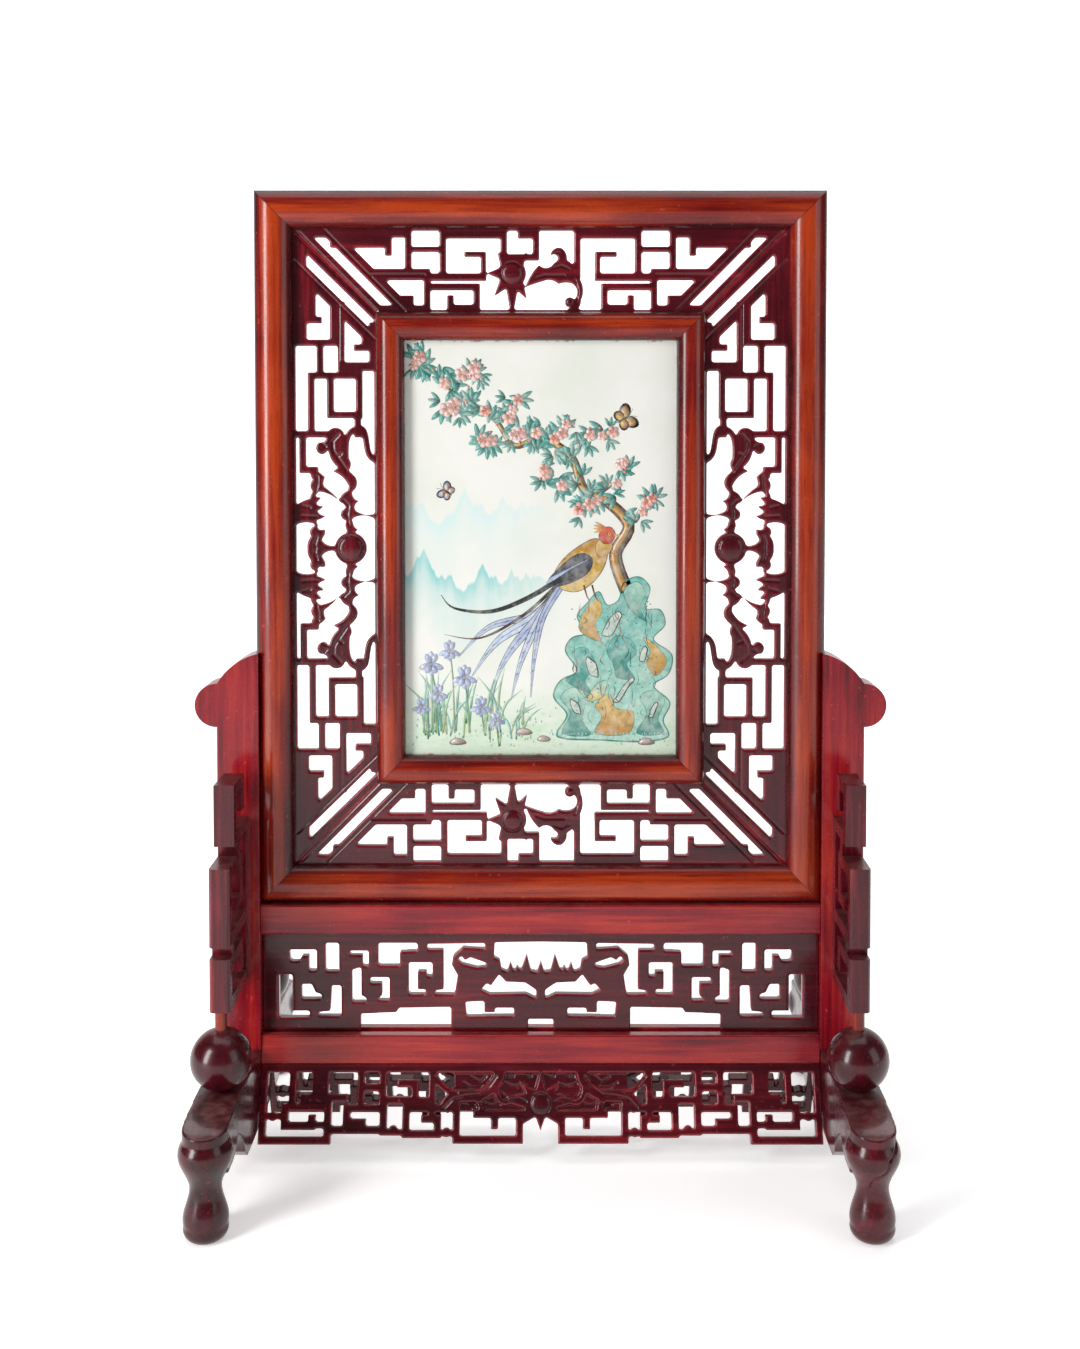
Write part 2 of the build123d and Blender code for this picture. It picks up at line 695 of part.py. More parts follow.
with BuildPart() as waist_panel:
    with BuildSketch(
        Plane((0, waist_thick / 2, lower_rail_top_z), x_dir=(1, 0, 0), z_dir=(0, -1, 0))
    ):
        Rectangle(post_gap, waist_height, align=(Align.CENTER, Align.MIN))
        pierce(waist_openings, waist_place)
        split(bisect_by=Plane.YZ, keep=Keep.BOTTOM)
        mirror(about=Plane.YZ)
        with Locations((0, waist_height)):
            Rectangle(post_gap, rail_groove_deep, align=(Align.CENTER, Align.MIN))
    extrude(amount=waist_thick)
finish("waist_panel", waist_panel.part)


# Posts: the groove clears the front round of the screen's stile where it enters the post
stile_half = outer_face / 2
crown_rise = outer_spring_y - outer_crown_y
round_radius = (stile_half**2 + crown_rise**2) / (2 * crown_rise)
entry_offset = stile_half - groove_seat
entry_y = outer_crown_y + round_radius - sqrt(round_radius**2 - entry_offset**2)
groove_front_y = entry_y - slot_clearance
groove_back_y = outer_back_y + slot_clearance
groove_outer_x = outer_half_x + slot_clearance

with BuildPart() as post_right:
    with BuildSketch(Plane((0, post_face_y, 0), x_dir=(1, 0, 0), z_dir=(0, -1, 0))):
        with BuildLine():
            Polyline(
                (post_outer_x, ear_outer_z),
                (post_outer_x, foot_top_z),
                (post_inner_x, foot_top_z),
                (post_inner_x, ear_inner_z),
            )
            ThreePointArc(
                (post_inner_x, ear_inner_z),
                (post_x + ear_bulge / 2, (ear_inner_z + ear_outer_z) / 2 + ear_bulge),
                (post_outer_x, ear_outer_z),
            )
        make_face()
        with Locations((post_outer_x, knob_z)):
            Circle(knob_radius)
    extrude(amount=post_depth)
    chamfer(post_right.edges().filter_by(Axis.Z).group_by(Axis.X)[-1], 0.8)
    with Locations((groove_outer_x, groove_front_y, screen_bottom_z - slot_clearance)):
        Box(
            2 * (groove_outer_x - post_inner_x),
            groove_back_y - groove_front_y,
            ear_inner_z,
            align=(Align.MAX, Align.MIN, Align.MIN),
            mode=Mode.SUBTRACT,
        )
    rail_tenons(upper_rail_top_z, upper_rail_height, joint_clearance, Mode.SUBTRACT)
    rail_tenons(lower_rail_top_z, lower_tenon_height, joint_clearance, Mode.SUBTRACT)
    with Locations((post_x, 0, foot_top_z)):
        Box(
            post_tenon_wide,
            post_tenon_deep,
            post_tenon_long,
            align=(Align.CENTER, Align.CENTER, Align.MAX),
        )
with BuildPart() as post_left:
    mirror(post_right.part, about=Plane.YZ)
finish("post_right", post_right.part)
finish("post_left", post_left.part)

# Feet: a sawn block with a cusped arch before and behind, and a turned end on each side
leg_profile = [
    (bun_radius - bun_ridge, bun_ridge_z + bun_ridge),
    (bun_radius, bun_z),
    (neck_radius, neck_z),
    (bulb_radius, bulb_z),
    (leg_top_radius, leg_top_z),
]
# The underside, from the block outward, at its Y and Z
cusp = (foot_block_half + foot_cusp_run, foot_floor_z + foot_cusp_rise)
arch_cusp = (cusp[0] + big_arch_run, foot_floor_z + big_arch_top)
big_arch_middle = (
    (cusp[0] + arch_cusp[0]) / 2 - big_arch_fullness / 2,
    (cusp[1] + arch_cusp[1]) / 2,
)
arch_end = (arch_cusp[0] + small_arch_run, neck_z + big_arch_fullness)
small_arch_middle = ((arch_cusp[0] + arch_end[0]) / 2 - 1, arch_end[1] + 2)
collar_y = leg_y + post_width / 2
with BuildPart() as foot_right:
    with BuildSketch(Plane((post_inner_x, 0, 0), x_dir=(0, 1, 0), z_dir=(1, 0, 0))):
        with BuildLine():
            Polyline((leg_y - shoulder_run, foot_top_z), (0, foot_top_z), (0, foot_floor_z))
            Polyline((0, foot_floor_z), (foot_block_half, foot_floor_z), cusp)
            ThreePointArc(cusp, big_arch_middle, arch_cusp)
            ThreePointArc(arch_cusp, small_arch_middle, arch_end)
            Polyline(
                arch_end,
                (leg_y, arch_end[1]),
                (leg_y, collar_bottom_z),
                (collar_y, collar_bottom_z),
                (collar_y, collar_top_z),
            )
            Spline(
                (leg_y - shoulder_run, foot_top_z),
                (leg_y - shoulder_run / 3, foot_top_z - shoulder_fall),
                (collar_y, collar_top_z),
                tangents=((1, 0), (1, -shoulder_slope)),
            )
        make_face()
        mirror(about=Plane.YZ)
    extrude(amount=post_width)
    uprights = foot_right.edges().filter_by(Axis.Z).group_by(Axis.Y)
    fillet(uprights[0] + uprights[-1], post_width / 2 - joint_clearance)
    for end_y in (-leg_y, leg_y):
        with BuildSketch(Plane((post_x, end_y, 0), x_dir=(1, 0, 0), z_dir=(0, -1, 0))):
            with BuildLine():
                Line((0, 0), (bun_seat_radius, 0))
                ThreePointArc(
                    (bun_seat_radius, 0),
                    (bun_bowl_radius, bun_ridge_z / 3),
                    (bun_radius, bun_ridge_z),
                )
                Line((bun_radius, bun_ridge_z), leg_profile[0])
                Spline(*leg_profile)
                Polyline(leg_profile[-1], (0, leg_top_z), (0, 0))
            make_face()
        revolve(axis=Axis((post_x, end_y, 0), (0, 0, 1)))
    with Locations((post_x, 0, foot_top_z)):
        Box(
            post_tenon_wide + 2 * joint_clearance,
            post_tenon_deep + 2 * joint_clearance,
            2 * (post_tenon_long + joint_clearance),
            mode=Mode.SUBTRACT,
        )
    with Locations((post_x, dowel_y, foot_top_z), (post_x, -dowel_y, foot_top_z)):
        Hole(dowel_radius + joint_clearance, depth=dowel_foot_deep + joint_clearance)
with BuildPart() as foot_left:
    mirror(foot_right.part, about=Plane.YZ)
finish("foot_right", foot_right.part)
finish("foot_left", foot_left.part)

# Drum balls, each on the shoulder of a foot and bored for its dowel
dowel_bottom_z = foot_top_z - dowel_foot_deep
dowel_top_z = spandrel_bottom_z + dowel_spandrel_deep
corners = {
    "front_left": (-1, -1),
    "back_left": (-1, 1),
    "front_right": (1, -1),
    "back_right": (1, 1),
}
for corner, (side_x, side_y) in corners.items():
    with BuildPart() as ball:
        with Locations((side_x * post_x, side_y * dowel_y, ball_z)):
            Sphere(ball_radius)
        split(bisect_by=Plane.XY.offset(foot_top_z), keep=Keep.TOP)
        with Locations((side_x * post_x, side_y * dowel_y, foot_top_z)):
            Cylinder(
                dowel_radius + joint_clearance,
                2 * ball_radius,
                align=(Align.CENTER, Align.CENTER, Align.MIN),
                mode=Mode.SUBTRACT,
            )
    finish(f"ball_{corner}", ball.part)

with BuildPart() as ball_dowels:
    spots = [(x * post_x, y * dowel_y, dowel_bottom_z) for x, y in corners.values()]
    with Locations(*spots):
        Cylinder(
            dowel_radius,
            dowel_top_z - dowel_bottom_z,
            align=(Align.CENTER, Align.CENTER, Align.MIN),
        )
finish("ball_dowels", ball_dowels.part)

# Standing spandrels: three tiers of square scroll, seen from the side with X outward
edge = spandrel_bar / 2
out_line = spandrel_reach - edge
high_line = high_tier_reach - edge
spandrel_paths = [
    (
        (0, edge),
        (out_line, edge),
        (out_line, low_tier_top - edge),
        (scroll_inset, low_tier_top - edge),
        (scroll_inset, low_scroll_end),
    ),
    (
        (0, mid_tier_bottom + edge),
        (out_line, mid_tier_bottom + edge),
        (out_line, mid_tier_top - edge),
        (scroll_inset, mid_tier_top - edge),
        (scroll_inset, mid_scroll_end[1]),
        mid_scroll_end,
    ),
    (
        (0, high_tier_bottom + edge),
        (high_line, high_tier_bottom + edge),
        (high_line, high_tier_top - edge),
        (high_scroll_end[0], high_tier_top - edge),
        high_scroll_end,
    ),
    ((edge, edge), (edge, high_tier_bottom + edge)),
]
spandrel_links = [
    ((low_link_out, low_tier_top - edge), (low_link_out, mid_tier_bottom + edge)),
    ((high_link_out, mid_tier_top - edge), (high_link_out, high_tier_bottom + edge)),
]
with BuildPart() as spandrel_front_right:
    with BuildSketch(
        Plane(
            (post_x + spandrel_thick / 2, -post_face_y, spandrel_bottom_z),
            x_dir=(0, -1, 0),
            z_dir=(-1, 0, 0),
        )
    ):
        bars(spandrel_paths, spandrel_bar, lambda out, up: (out, up))
        bars(spandrel_links, spandrel_link, lambda out, up: (out, up))
        Rectangle(
            spandrel_bar,
            3 * high_tier_top,
            align=(Align.MAX, Align.CENTER),
            mode=Mode.SUBTRACT,
        )
    extrude(amount=spandrel_thick)
    chamfer(spandrel_front_right.edges().filter_by(Axis.Z).group_by(Axis.Y)[0], spandrel_edge)
    with Locations((post_x, -dowel_y, spandrel_bottom_z)):
        Cylinder(
            dowel_radius + joint_clearance,
            2 * (dowel_spandrel_deep + joint_clearance),
            mode=Mode.SUBTRACT,
        )
finish("spandrel_front_right", spandrel_front_right.part)
with BuildPart() as spandrel_front_left:
    mirror(spandrel_front_right.part, about=Plane.YZ)
with BuildPart() as spandrel_back_right:
    mirror(spandrel_front_right.part, about=Plane.XZ)
with BuildPart() as spandrel_back_left:
    mirror(spandrel_front_left.part, about=Plane.XZ)
finish("spandrel_front_left", spandrel_front_left.part)
finish("spandrel_back_right", spandrel_back_right.part)
finish("spandrel_back_left", spandrel_back_left.part)

# Aprons
lean = radians(apron_lean)
apron_plane = Plane(
    (0, -apron_top_y, apron_top_z), x_dir=(1, 0, 0), z_dir=(0, -cos(lean), sin(lean))
)
apron_step_x = post_gap / 2 / apron_columns
apron_step_y = apron_height / apron_rows


def apron_place(column, row):
    """The apron's X and its distance down the slope, negative, at a grid point."""
    return -post_gap / 2 + column * apron_step_x, -row * apron_step_y


with BuildPart() as apron_front:
    with BuildSketch(apron_plane):
        blocks(apron_blocks, apron_place)
        bars(apron_bars, apron_bar, apron_place)
        bars(apron_thin_bars, apron_thin_bar, apron_place)
        with Locations(*[apron_place(*bud) for bud in apron_buds]):
            Circle(apron_bud_radius)
        ribbons(apron_ribbons, apron_thin_bar, apron_place)
        ribbons(apron_body, apron_body_wide, apron_place)
        mirror(about=Plane.YZ)
        with Locations(apron_place(*apron_pearl)):
            Circle(apron_pearl_radius)
        flames(apron_pearl, apron_pearl_radius, apron_rays, apron_pearl_radius, apron_place)
        with Locations((0, -apron_height / 2)):
            Rectangle(post_gap, apron_height + 2 * apron_thick, mode=Mode.INTERSECT)
        Rectangle(post_gap, apron_thick / 2, align=(Align.CENTER, Align.MIN))
    extrude(amount=-apron_thick)
    with BuildSketch(apron_plane.offset(-apron_board_recess)):
        blocks(apron_board, apron_place)
        pierce(apron_holes, apron_place)
        mirror(about=Plane.YZ)
    extrude(amount=apron_board_recess - apron_thick)
    split(bisect_by=Plane.XY.offset(lower_rail_bottom_z), keep=Keep.BOTTOM)
with BuildPart() as apron_back:
    mirror(apron_front.part, about=Plane.XZ)
finish("apron_front", apron_front.part)
finish("apron_back", apron_back.part)
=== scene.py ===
"""Looks of a carved hardwood table screen with a painted porcelain plaque.

The frame holds the joinery. This script stains and polishes the wood, carves the pierced
panels, turns the feet, paints and glazes the plaque, and sets up a small studio.
"""

import json
import math
import random

import bmesh
import bpy
from bpy.props import FloatProperty, FloatVectorProperty, PointerProperty
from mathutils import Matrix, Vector
from mathutils.kdtree import KDTree

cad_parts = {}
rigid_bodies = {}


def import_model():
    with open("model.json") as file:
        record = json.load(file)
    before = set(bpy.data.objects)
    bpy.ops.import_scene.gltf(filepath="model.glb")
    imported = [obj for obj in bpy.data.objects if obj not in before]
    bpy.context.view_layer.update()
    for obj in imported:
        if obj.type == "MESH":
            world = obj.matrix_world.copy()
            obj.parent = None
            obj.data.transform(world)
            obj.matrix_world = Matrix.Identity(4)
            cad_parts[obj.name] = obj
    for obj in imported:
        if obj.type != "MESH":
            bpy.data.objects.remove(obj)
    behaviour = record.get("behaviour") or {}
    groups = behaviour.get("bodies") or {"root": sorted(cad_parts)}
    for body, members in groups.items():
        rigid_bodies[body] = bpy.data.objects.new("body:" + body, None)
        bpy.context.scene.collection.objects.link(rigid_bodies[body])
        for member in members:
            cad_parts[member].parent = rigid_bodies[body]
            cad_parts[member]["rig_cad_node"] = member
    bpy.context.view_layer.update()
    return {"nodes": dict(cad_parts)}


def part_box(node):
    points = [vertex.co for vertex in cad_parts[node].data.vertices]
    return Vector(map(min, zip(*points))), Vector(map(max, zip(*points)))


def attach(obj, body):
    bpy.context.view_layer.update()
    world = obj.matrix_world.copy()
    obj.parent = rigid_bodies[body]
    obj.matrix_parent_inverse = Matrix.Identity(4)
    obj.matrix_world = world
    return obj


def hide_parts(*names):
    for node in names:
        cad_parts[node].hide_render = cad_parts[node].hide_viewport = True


bl_info = {
    "name": "Table Screen Finisher",
    "version": (1, 0, 0),
    "blender": (4, 5, 0),
    "location": "View3D > Sidebar > Table Screen",
    "description": "Carves, stains, paints and lights the parts of a hardwood table screen",
    "category": "Object",
}

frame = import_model()

MM = 0.001
FRONT = Vector((0, -1, 0))

screen_low, screen_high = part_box("outer_rail_bottom")[0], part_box("outer_rail_top")[1]
screen_middle = (screen_low + screen_high) / 2
mitre_offset = screen_high.x - (screen_high.z - screen_middle.z)
glaze_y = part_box("plaque")[0].y

# Width and height of the plaque's face that the inner frame leaves open, in millimetres
sight_wide = -2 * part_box("inner_stile_left")[1].x / MM
sight_tall = (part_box("inner_rail_top")[0].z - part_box("inner_rail_bottom")[1].z) / MM

# An edge that turns by more than this is eased
SHARP = math.radians(40)

# A point whose normal leans out this little stands on a wall of the piercing
WALL_LEAN = 0.35

# How far under the face a point may lie and still be rounded, grooved or raised
ROUNDED_SKIN = 3.2 * MM
GROOVED_SKIN = 3.4 * MM
RAISED_SKIN = 2.5 * MM

# How closely a groove's way is followed
GROOVE_STEP = 0.4 * MM

# A pearl's dome and the outside of its ring, as shares of its radius, and the ring's depth
DOME = 0.74
RING = 0.86
RING_DEPTH = 0.5 * MM


# Small tools for meshes


def placed(name, data):
    """A new object in the scene that shows a mesh, a light or a camera."""
    made = bpy.data.objects.new(name, data)
    bpy.context.scene.collection.objects.link(made)
    return made


def meshed(name, bm, smooth=True):
    """A new object in the scene with the finished bmesh as its mesh."""
    mesh = bpy.data.meshes.new(name)
    bm.to_mesh(mesh)
    bm.free()
    mesh.polygons.foreach_set("use_smooth", [smooth] * len(mesh.polygons))
    return placed(name, mesh)


def piece(name, bm, body, material, smooth=True):
    """A finished mesh that rides on one body of the frame."""
    made = meshed(name, bm, smooth)
    made.data.materials.append(material)
    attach(made, body)
    return made


def joined_copy(node):
    """The node's own mesh with its loose triangles welded and its flat faces whole."""
    bm = bmesh.new()
    bm.from_mesh(frame["nodes"][node].data)
    bmesh.ops.remove_doubles(bm, verts=bm.verts, dist=0.002 * MM)
    bmesh.ops.dissolve_limit(
        bm, angle_limit=math.radians(0.5), verts=bm.verts, edges=bm.edges, delimit=set()
    )
    return bm


def ease_edges(bm, width):
    """Rounds every sharp edge."""
    edges = [e for e in bm.edges if e.is_manifold and e.calc_face_angle() > SHARP]
    shape = {"offset": width, "offset_type": "OFFSET", "segments": 3, "profile": 0.5}
    bmesh.ops.bevel(bm, geom=edges, affect="EDGES", clamp_overlap=True, material=-1, **shape)


def refine(bm, voxel):
    """The same solid as an even fine mesh, ready for carving."""
    blank = meshed("blank", bm, False)
    mesh = blank.data
    remesh = blank.modifiers.new("even", "REMESH")
    remesh.mode = "VOXEL"
    remesh.voxel_size = voxel
    seen = blank.evaluated_get(bpy.context.evaluated_depsgraph_get())
    fine = bmesh.new()
    fine.from_mesh(seen.to_mesh())
    seen.to_mesh_clear()
    bpy.data.objects.remove(blank)
    bpy.data.meshes.remove(mesh)
    return fine


def flat_tree(points, outward):
    """A search tree of the points, all laid flat as the outward way sees them."""
    tree = KDTree(len(points))
    for index, co in enumerate(points):
        tree.insert(co - outward * co.dot(outward), index)
    tree.balance()
    return tree


def round_face(bm, outward, radius, depth):
    """Rounds the edges of the face that looks outward, by each point's way to the walls.

    The attribute edge keeps how near a point lies to a wall, for rubbed edges that also carry a painted
    highlight.
    """
    bm.normal_update()
    edge = bm.verts.layers.float.new("edge")
    walls = flat_tree([v.co for v in bm.verts if abs(v.normal.dot(outward)) < WALL_LEAN], outward)
    top = max(v.co.dot(outward) for v in bm.verts)
    for vert in bm.verts:
        height = vert.co.dot(outward)
        if height < top - ROUNDED_SKIN:
            continue
        gap = walls.find(vert.co - outward * height)[2]
        inward = max(0.0, 1.0 - gap / radius)
        vert[edge] = inward if height > top - 1.6 * depth else 0.0
        allowed = top - depth * (1.0 - math.sqrt(max(0.0, 1.0 - inward * inward)))
        if height > allowed:
            vert.co += outward * (allowed - height)


def near_front(bm, outward, depth):
    """The points of the outward face, with the same points laid flat beside them."""
    top = max(v.co.dot(outward) for v in bm.verts)
    front = [v for v in bm.verts if v.co.dot(outward) > top - depth]
    return [(v, v.co - outward * v.co.dot(outward)) for v in front]


def engrave(bm, outward, paths, width, depth):
    """Cuts V grooves along paths given as lists of points on the face."""
    points = []
    for path in paths:
        for start, end in zip(path, path[1:]):
            steps = max(2, int((end - start).length / GROOVE_STEP))
            points += [start.lerp(end, k / steps) for k in range(steps + 1)]
    tree = flat_tree(points, outward)
    for vert, flat in near_front(bm, outward, GROOVED_SKIN):
        gap = tree.find(flat)[2]
        if gap < width / 2:
            vert.co -= outward * depth * (1 - 2 * gap / width)


def emboss(bm, outward, centre, radius, rise):
    """Raises a low dome with a sunk ring round it."""
    middle = centre - outward * centre.dot(outward)
    for vert, flat in near_front(bm, outward, RAISED_SKIN):
        reach = (flat - middle).length / radius
        if reach < DOME:
            vert.co += outward * rise * math.sqrt(1 - (reach / DOME) ** 2)
        elif reach < RING:
            vert.co -= outward * RING_DEPTH


# Shader graphs


class Graph:
    """Adds nodes to one material and links them."""

    def __init__(self, name):
        self.material = bpy.data.materials.new(name)
        self.material.use_nodes = True
        self.tree = self.material.node_tree
        self.tree.nodes.clear()

    def add(self, kind, sockets=None, **settings):
        node = self.tree.nodes.new(kind)
        for key, value in settings.items():
            setattr(node, key, value)
        for key, value in (sockets or {}).items():
            if isinstance(value, bpy.types.NodeSocket):
                self.tree.links.new(value, node.inputs[key])
            else:
                node.inputs[key].default_value = value
        return node

    def math(self, operation, first, second=0.0):
        return self.add("ShaderNodeMath", {0: first, 1: second}, operation=operation).outputs[0]

    def plus(self, first, second):
        return self.math("ADD", first, second)

    def minus(self, first, second):
        return self.math("SUBTRACT", first, second)

    def times(self, first, second):
        return self.math("MULTIPLY", first, second)

    def ramp(self, fac, stops):
        """A colour ramp; each stop is a position and a colour or a grey."""
        node = self.add("ShaderNodeValToRGB", {0: fac})
        while len(node.color_ramp.elements) < len(stops):
            node.color_ramp.elements.new(0.5)
        for element, (position, colour) in zip(node.color_ramp.elements, stops):
            element.position = position
            grey = isinstance(colour, (int, float))
            element.color = (colour, colour, colour, 1) if grey else (*colour, 1)
        return node.outputs[0]

    def mix(self, fac, first, second, blend="MIX"):
        node = self.add("ShaderNodeMix", data_type="RGBA", blend_type=blend, clamp_factor=True)
        for index, value in ((0, fac), (6, first), (7, second)):
            if isinstance(value, bpy.types.NodeSocket):
                self.tree.links.new(value, node.inputs[index])
            elif index:
                node.inputs[index].default_value = (*value, 1)
            else:
                node.inputs[index].default_value = value
        return node.outputs[2]

    def noise(self, vector, scale, detail=3.0, roughness=0.55, distortion=0.0):
        grain = {"Scale": scale, "Detail": detail, "Roughness": roughness, "Distortion": distortion}
        return self.add("ShaderNodeTexNoise", {"Vector": vector, **grain}).outputs["Fac"]

    def stretch(self, vector, scale):
        return self.add("ShaderNodeMapping", {"Vector": vector, "Scale": scale}).outputs[0]

    def objects(self):
        return self.add("ShaderNodeTexCoord").outputs["Object"]

    def parts(self, vector):
        return self.add("ShaderNodeSeparateXYZ", {0: vector}).outputs

    def finish(self, sockets, bump=None, bump_depth=0.0001, bump_strength=0.5):
        """The surface itself, with a fine height map if there is one."""
        if bump is not None:
            relief = {"Height": bump, "Distance": bump_depth, "Strength": bump_strength}
            sockets["Normal"] = self.add("ShaderNodeBump", relief).outputs[0]
        shader = self.add("ShaderNodeBsdfPrincipled", sockets)
        self.add("ShaderNodeOutputMaterial", {"Surface": shader.outputs[0]})
        return self.material


# The pale wear on faces that look up
DUST = (0.2, 0.085, 0.08)

# How the noise is stretched for grain that runs along an axis
GRAIN = {
    "X": lambda fine, long: (long, fine, fine),
    "Y": lambda fine, long: (fine, long, fine),
    "Z": lambda fine, long: (fine, fine, long),
}


def wood(name, along, colours, polish, crown=None, worn=0.0, calm=1.0, shade=0.0):
    """Stained and polished hardwood, its grain along one axis.

    colours run from the shadow stain to the rubbed one. crown gives the Y of a moulding's
    crown and of its foot; the round is painted brighter towards the crown and darker towards
    the foot, partly as rubbed stain and partly as a painted highlight on the crown and painted
    shade on the flanks. The share given for the edges brightens the carved edges, marked by
    the attribute edge, in patches: partly rubbing, partly a painted highlight along them. calm
    evens out the grain, and shade darkens or lightens it.
    """
    deep, middle, bright = colours
    graph = Graph(name)
    here = graph.objects()
    place = graph.parts(here)

    streaks = graph.noise(graph.stretch(here, GRAIN[along](420, 14)), 1, 5, 0.62, 0.35)
    bands = graph.noise(graph.stretch(here, GRAIN[along](90, 5)), 1, 3, 0.5, 0.6)
    clouds = graph.noise(here, 16, 2, 0.5)
    tone = graph.plus(graph.times(streaks, 0.4), graph.times(bands, 0.35))
    tone = graph.plus(tone, graph.times(clouds, 0.25))
    tone = graph.plus(graph.times(tone, calm), 0.5 - 0.5 * calm + shade)
    # Painted highlight and shade: the round grows brighter towards the crown and darker towards the flanks;
    # partly rubbed stain, partly painted light.
    if crown:
        top, foot = crown
        span = {"Value": place["Y"], "From Min": foot, "From Max": top, "To Min": -0.17, "To Max": 0.07}
        tone = graph.plus(tone, graph.add("ShaderNodeMapRange", span).outputs[0])
    # Painted highlight, partly real rubbing: the carved edges are brightened in patches.
    if worn:
        edge = graph.add("ShaderNodeAttribute", attribute_name="edge").outputs["Fac"]
        patchy = graph.times(edge, graph.noise(here, 90, 3, 0.6))
        tone = graph.plus(tone, graph.times(patchy, worn))
    colour = graph.ramp(tone, [(0.35, deep), (0.48, middle), (0.63, bright)])

    pores = graph.noise(graph.stretch(here, GRAIN[along](1900, 60)), 1, 2, 0.5)
    dark_pores = graph.ramp(pores, [(0.58, 0), (0.74, 0.5)])
    colour = graph.mix(dark_pores, colour, [c * 0.25 for c in deep])
    normal = graph.add("ShaderNodeNewGeometry").outputs["Normal"]
    scuffs = graph.ramp(graph.noise(here, 140, 5, 0.7), [(0.42, 0.15), (0.66, 1.0)])
    flat = graph.ramp(graph.parts(normal)["Z"], [(0.75, 0), (0.97, 0.6)])
    colour = graph.mix(graph.times(flat, scuffs), colour, DUST)
    dings = graph.ramp(graph.noise(here, 330, 2, 0.4), [(0.7, 0), (0.76, 0.5)])
    colour = graph.mix(dings, colour, [c * 1.3 + 0.02 for c in bright])
    if crown:
        across = graph.math("ABSOLUTE", place["X"])
        up = graph.math("ABSOLUTE", graph.minus(place["Z"], screen_middle.z))
        seam = graph.minus(graph.minus(across, up), mitre_offset)
        seam = graph.times(graph.math("ABSOLUTE", seam), 1 / MM)
        colour = graph.mix(graph.ramp(seam, [(0.12, 0.85), (0.35, 0)]), colour, [c * 0.2 for c in deep])

    rough = graph.ramp(graph.noise(here, 70, 4, 0.6), [(0.3, polish - 0.06), (0.7, polish + 0.08)])
    surface = {
        "Base Color": colour,
        "Roughness": graph.plus(rough, graph.times(flat, 0.25)),
        "IOR": 1.48,
        "Specular IOR Level": 0.32,
        "Coat Weight": 0.3,
        "Coat Roughness": 0.12,
    }
    height = graph.minus(graph.times(streaks, 0.5), dark_pores)
    return graph.finish(surface, height, 0.05 * MM, 0.35)


# Settings that a user would change


def stain(label, colour):
    """A colour that the user can change."""
    return FloatVectorProperty(
        name=label,
        description=f"{label} of the wood, one of three tones that the grain runs through",
        subtype="COLOR",
        default=colour,
        min=0,
        max=1,
    )


def length(label, description, value):
    """A length that the user can change."""
    return FloatProperty(name=label, description=description, default=value, unit="LENGTH")


class WoodSettings(bpy.types.PropertyGroup):
    frame_deep: stain("Moulding shadow stain", (0.035, 0.001, 0.002))
    frame: stain("Moulding stain", (0.17, 0.006, 0.0035))
    frame_bright: stain("Moulding rubbed stain", (0.37, 0.038, 0.006))
    member_deep: stain("Rail shadow stain", (0.07, 0.0012, 0.004))
    member: stain("Rail stain", (0.24, 0.005, 0.013))
    member_bright: stain("Rail rubbed stain", (0.44, 0.028, 0.017))
    carved_deep: stain("Carving shadow stain", (0.014, 0.0008, 0.0015))
    carved: stain("Carving stain", (0.075, 0.0025, 0.0075))
    carved_bright: stain("Carving rubbed stain", (0.3, 0.014, 0.024))
    polish: FloatProperty(
        name="Roughness of the polish",
        description="How dull the polish is on all the wood",
        default=0.25,
        min=0.07,
        max=0.8,
        subtype="FACTOR",
    )


class CarvingSettings(bpy.types.PropertyGroup):
    voxel: length("Mesh fineness", "Grid that the pierced panels are carved on", 0.7 * MM)
    foot_voxel: length("Foot fineness", "Grid that the feet are shaped on", 0.75 * MM)
    bar_round: length("Round of the bars", "How far in from its edge a bar is rounded", 1.3 * MM)
    bar_depth: length("Depth of the rounding", "How far a bar's edge drops", 0.9 * MM)
    groove_width: length("Groove width", "Width of the lines cut in the frets and aprons", 1.7 * MM)
    groove_depth: length("Groove depth", "Depth of the lines cut in the frets and aprons", 1.0 * MM)
    member_round: length("Eased edge", "Round on the edges of rails, posts and spandrels", 0.7 * MM)


class StageSettings(bpy.types.PropertyGroup):
    focal: FloatProperty(
        name="Focal length", description="Lens of the camera", default=40.0, unit="CAMERA"
    )
    distance: length("Camera distance", "From the middle of the screen to the camera", 0.899)
    height: length("Camera height", "From the table top to the camera", 0.458)
    pitch: FloatProperty(
        name="Downward tilt",
        description="How far the camera looks down",
        default=math.radians(2),
        unit="ROTATION",
    )
    key_power: FloatProperty(
        name="Left softbox",
        description="Power of the main light, which the others follow",
        default=26.0,
        unit="POWER",
    )
    floor: FloatVectorProperty(
        name="Floor",
        description="Colour of the paper that the screen stands on",
        subtype="COLOR",
        default=(0.93, 0.93, 0.93),
    )


def stained(kind, along, ring="", **options):
    """One of the screen's woods, made once for each direction of the grain."""
    name = f"{kind}_wood_{along.lower()}{ring}"
    if name in bpy.data.materials:
        return bpy.data.materials[name]
    tones = bpy.context.scene.table_screen_wood
    colours = [tuple(getattr(tones, kind + shade)) for shade in ("_deep", "", "_bright")]
    return wood(name, along, colours, tones.polish, **options)


def coat_node(node, material):
    """Gives a node of the frame its finish."""
    mesh = frame["nodes"][node].data
    mesh.materials.clear()
    mesh.materials.append(material)


# Mouldings, brads and the members of the stand

# How far the round of a moulding runs back from its crown
CROWN_DEPTH = 6.5 * MM

# The brads: size of the head, how flat and how deep it sits, and how far off the bead's middle
BRAD_RADIUS = 0.9 * MM
BRAD_FLATNESS = 0.45
BRAD_SINK = 0.1 * MM
BRAD_OFFSET = 1 * MM


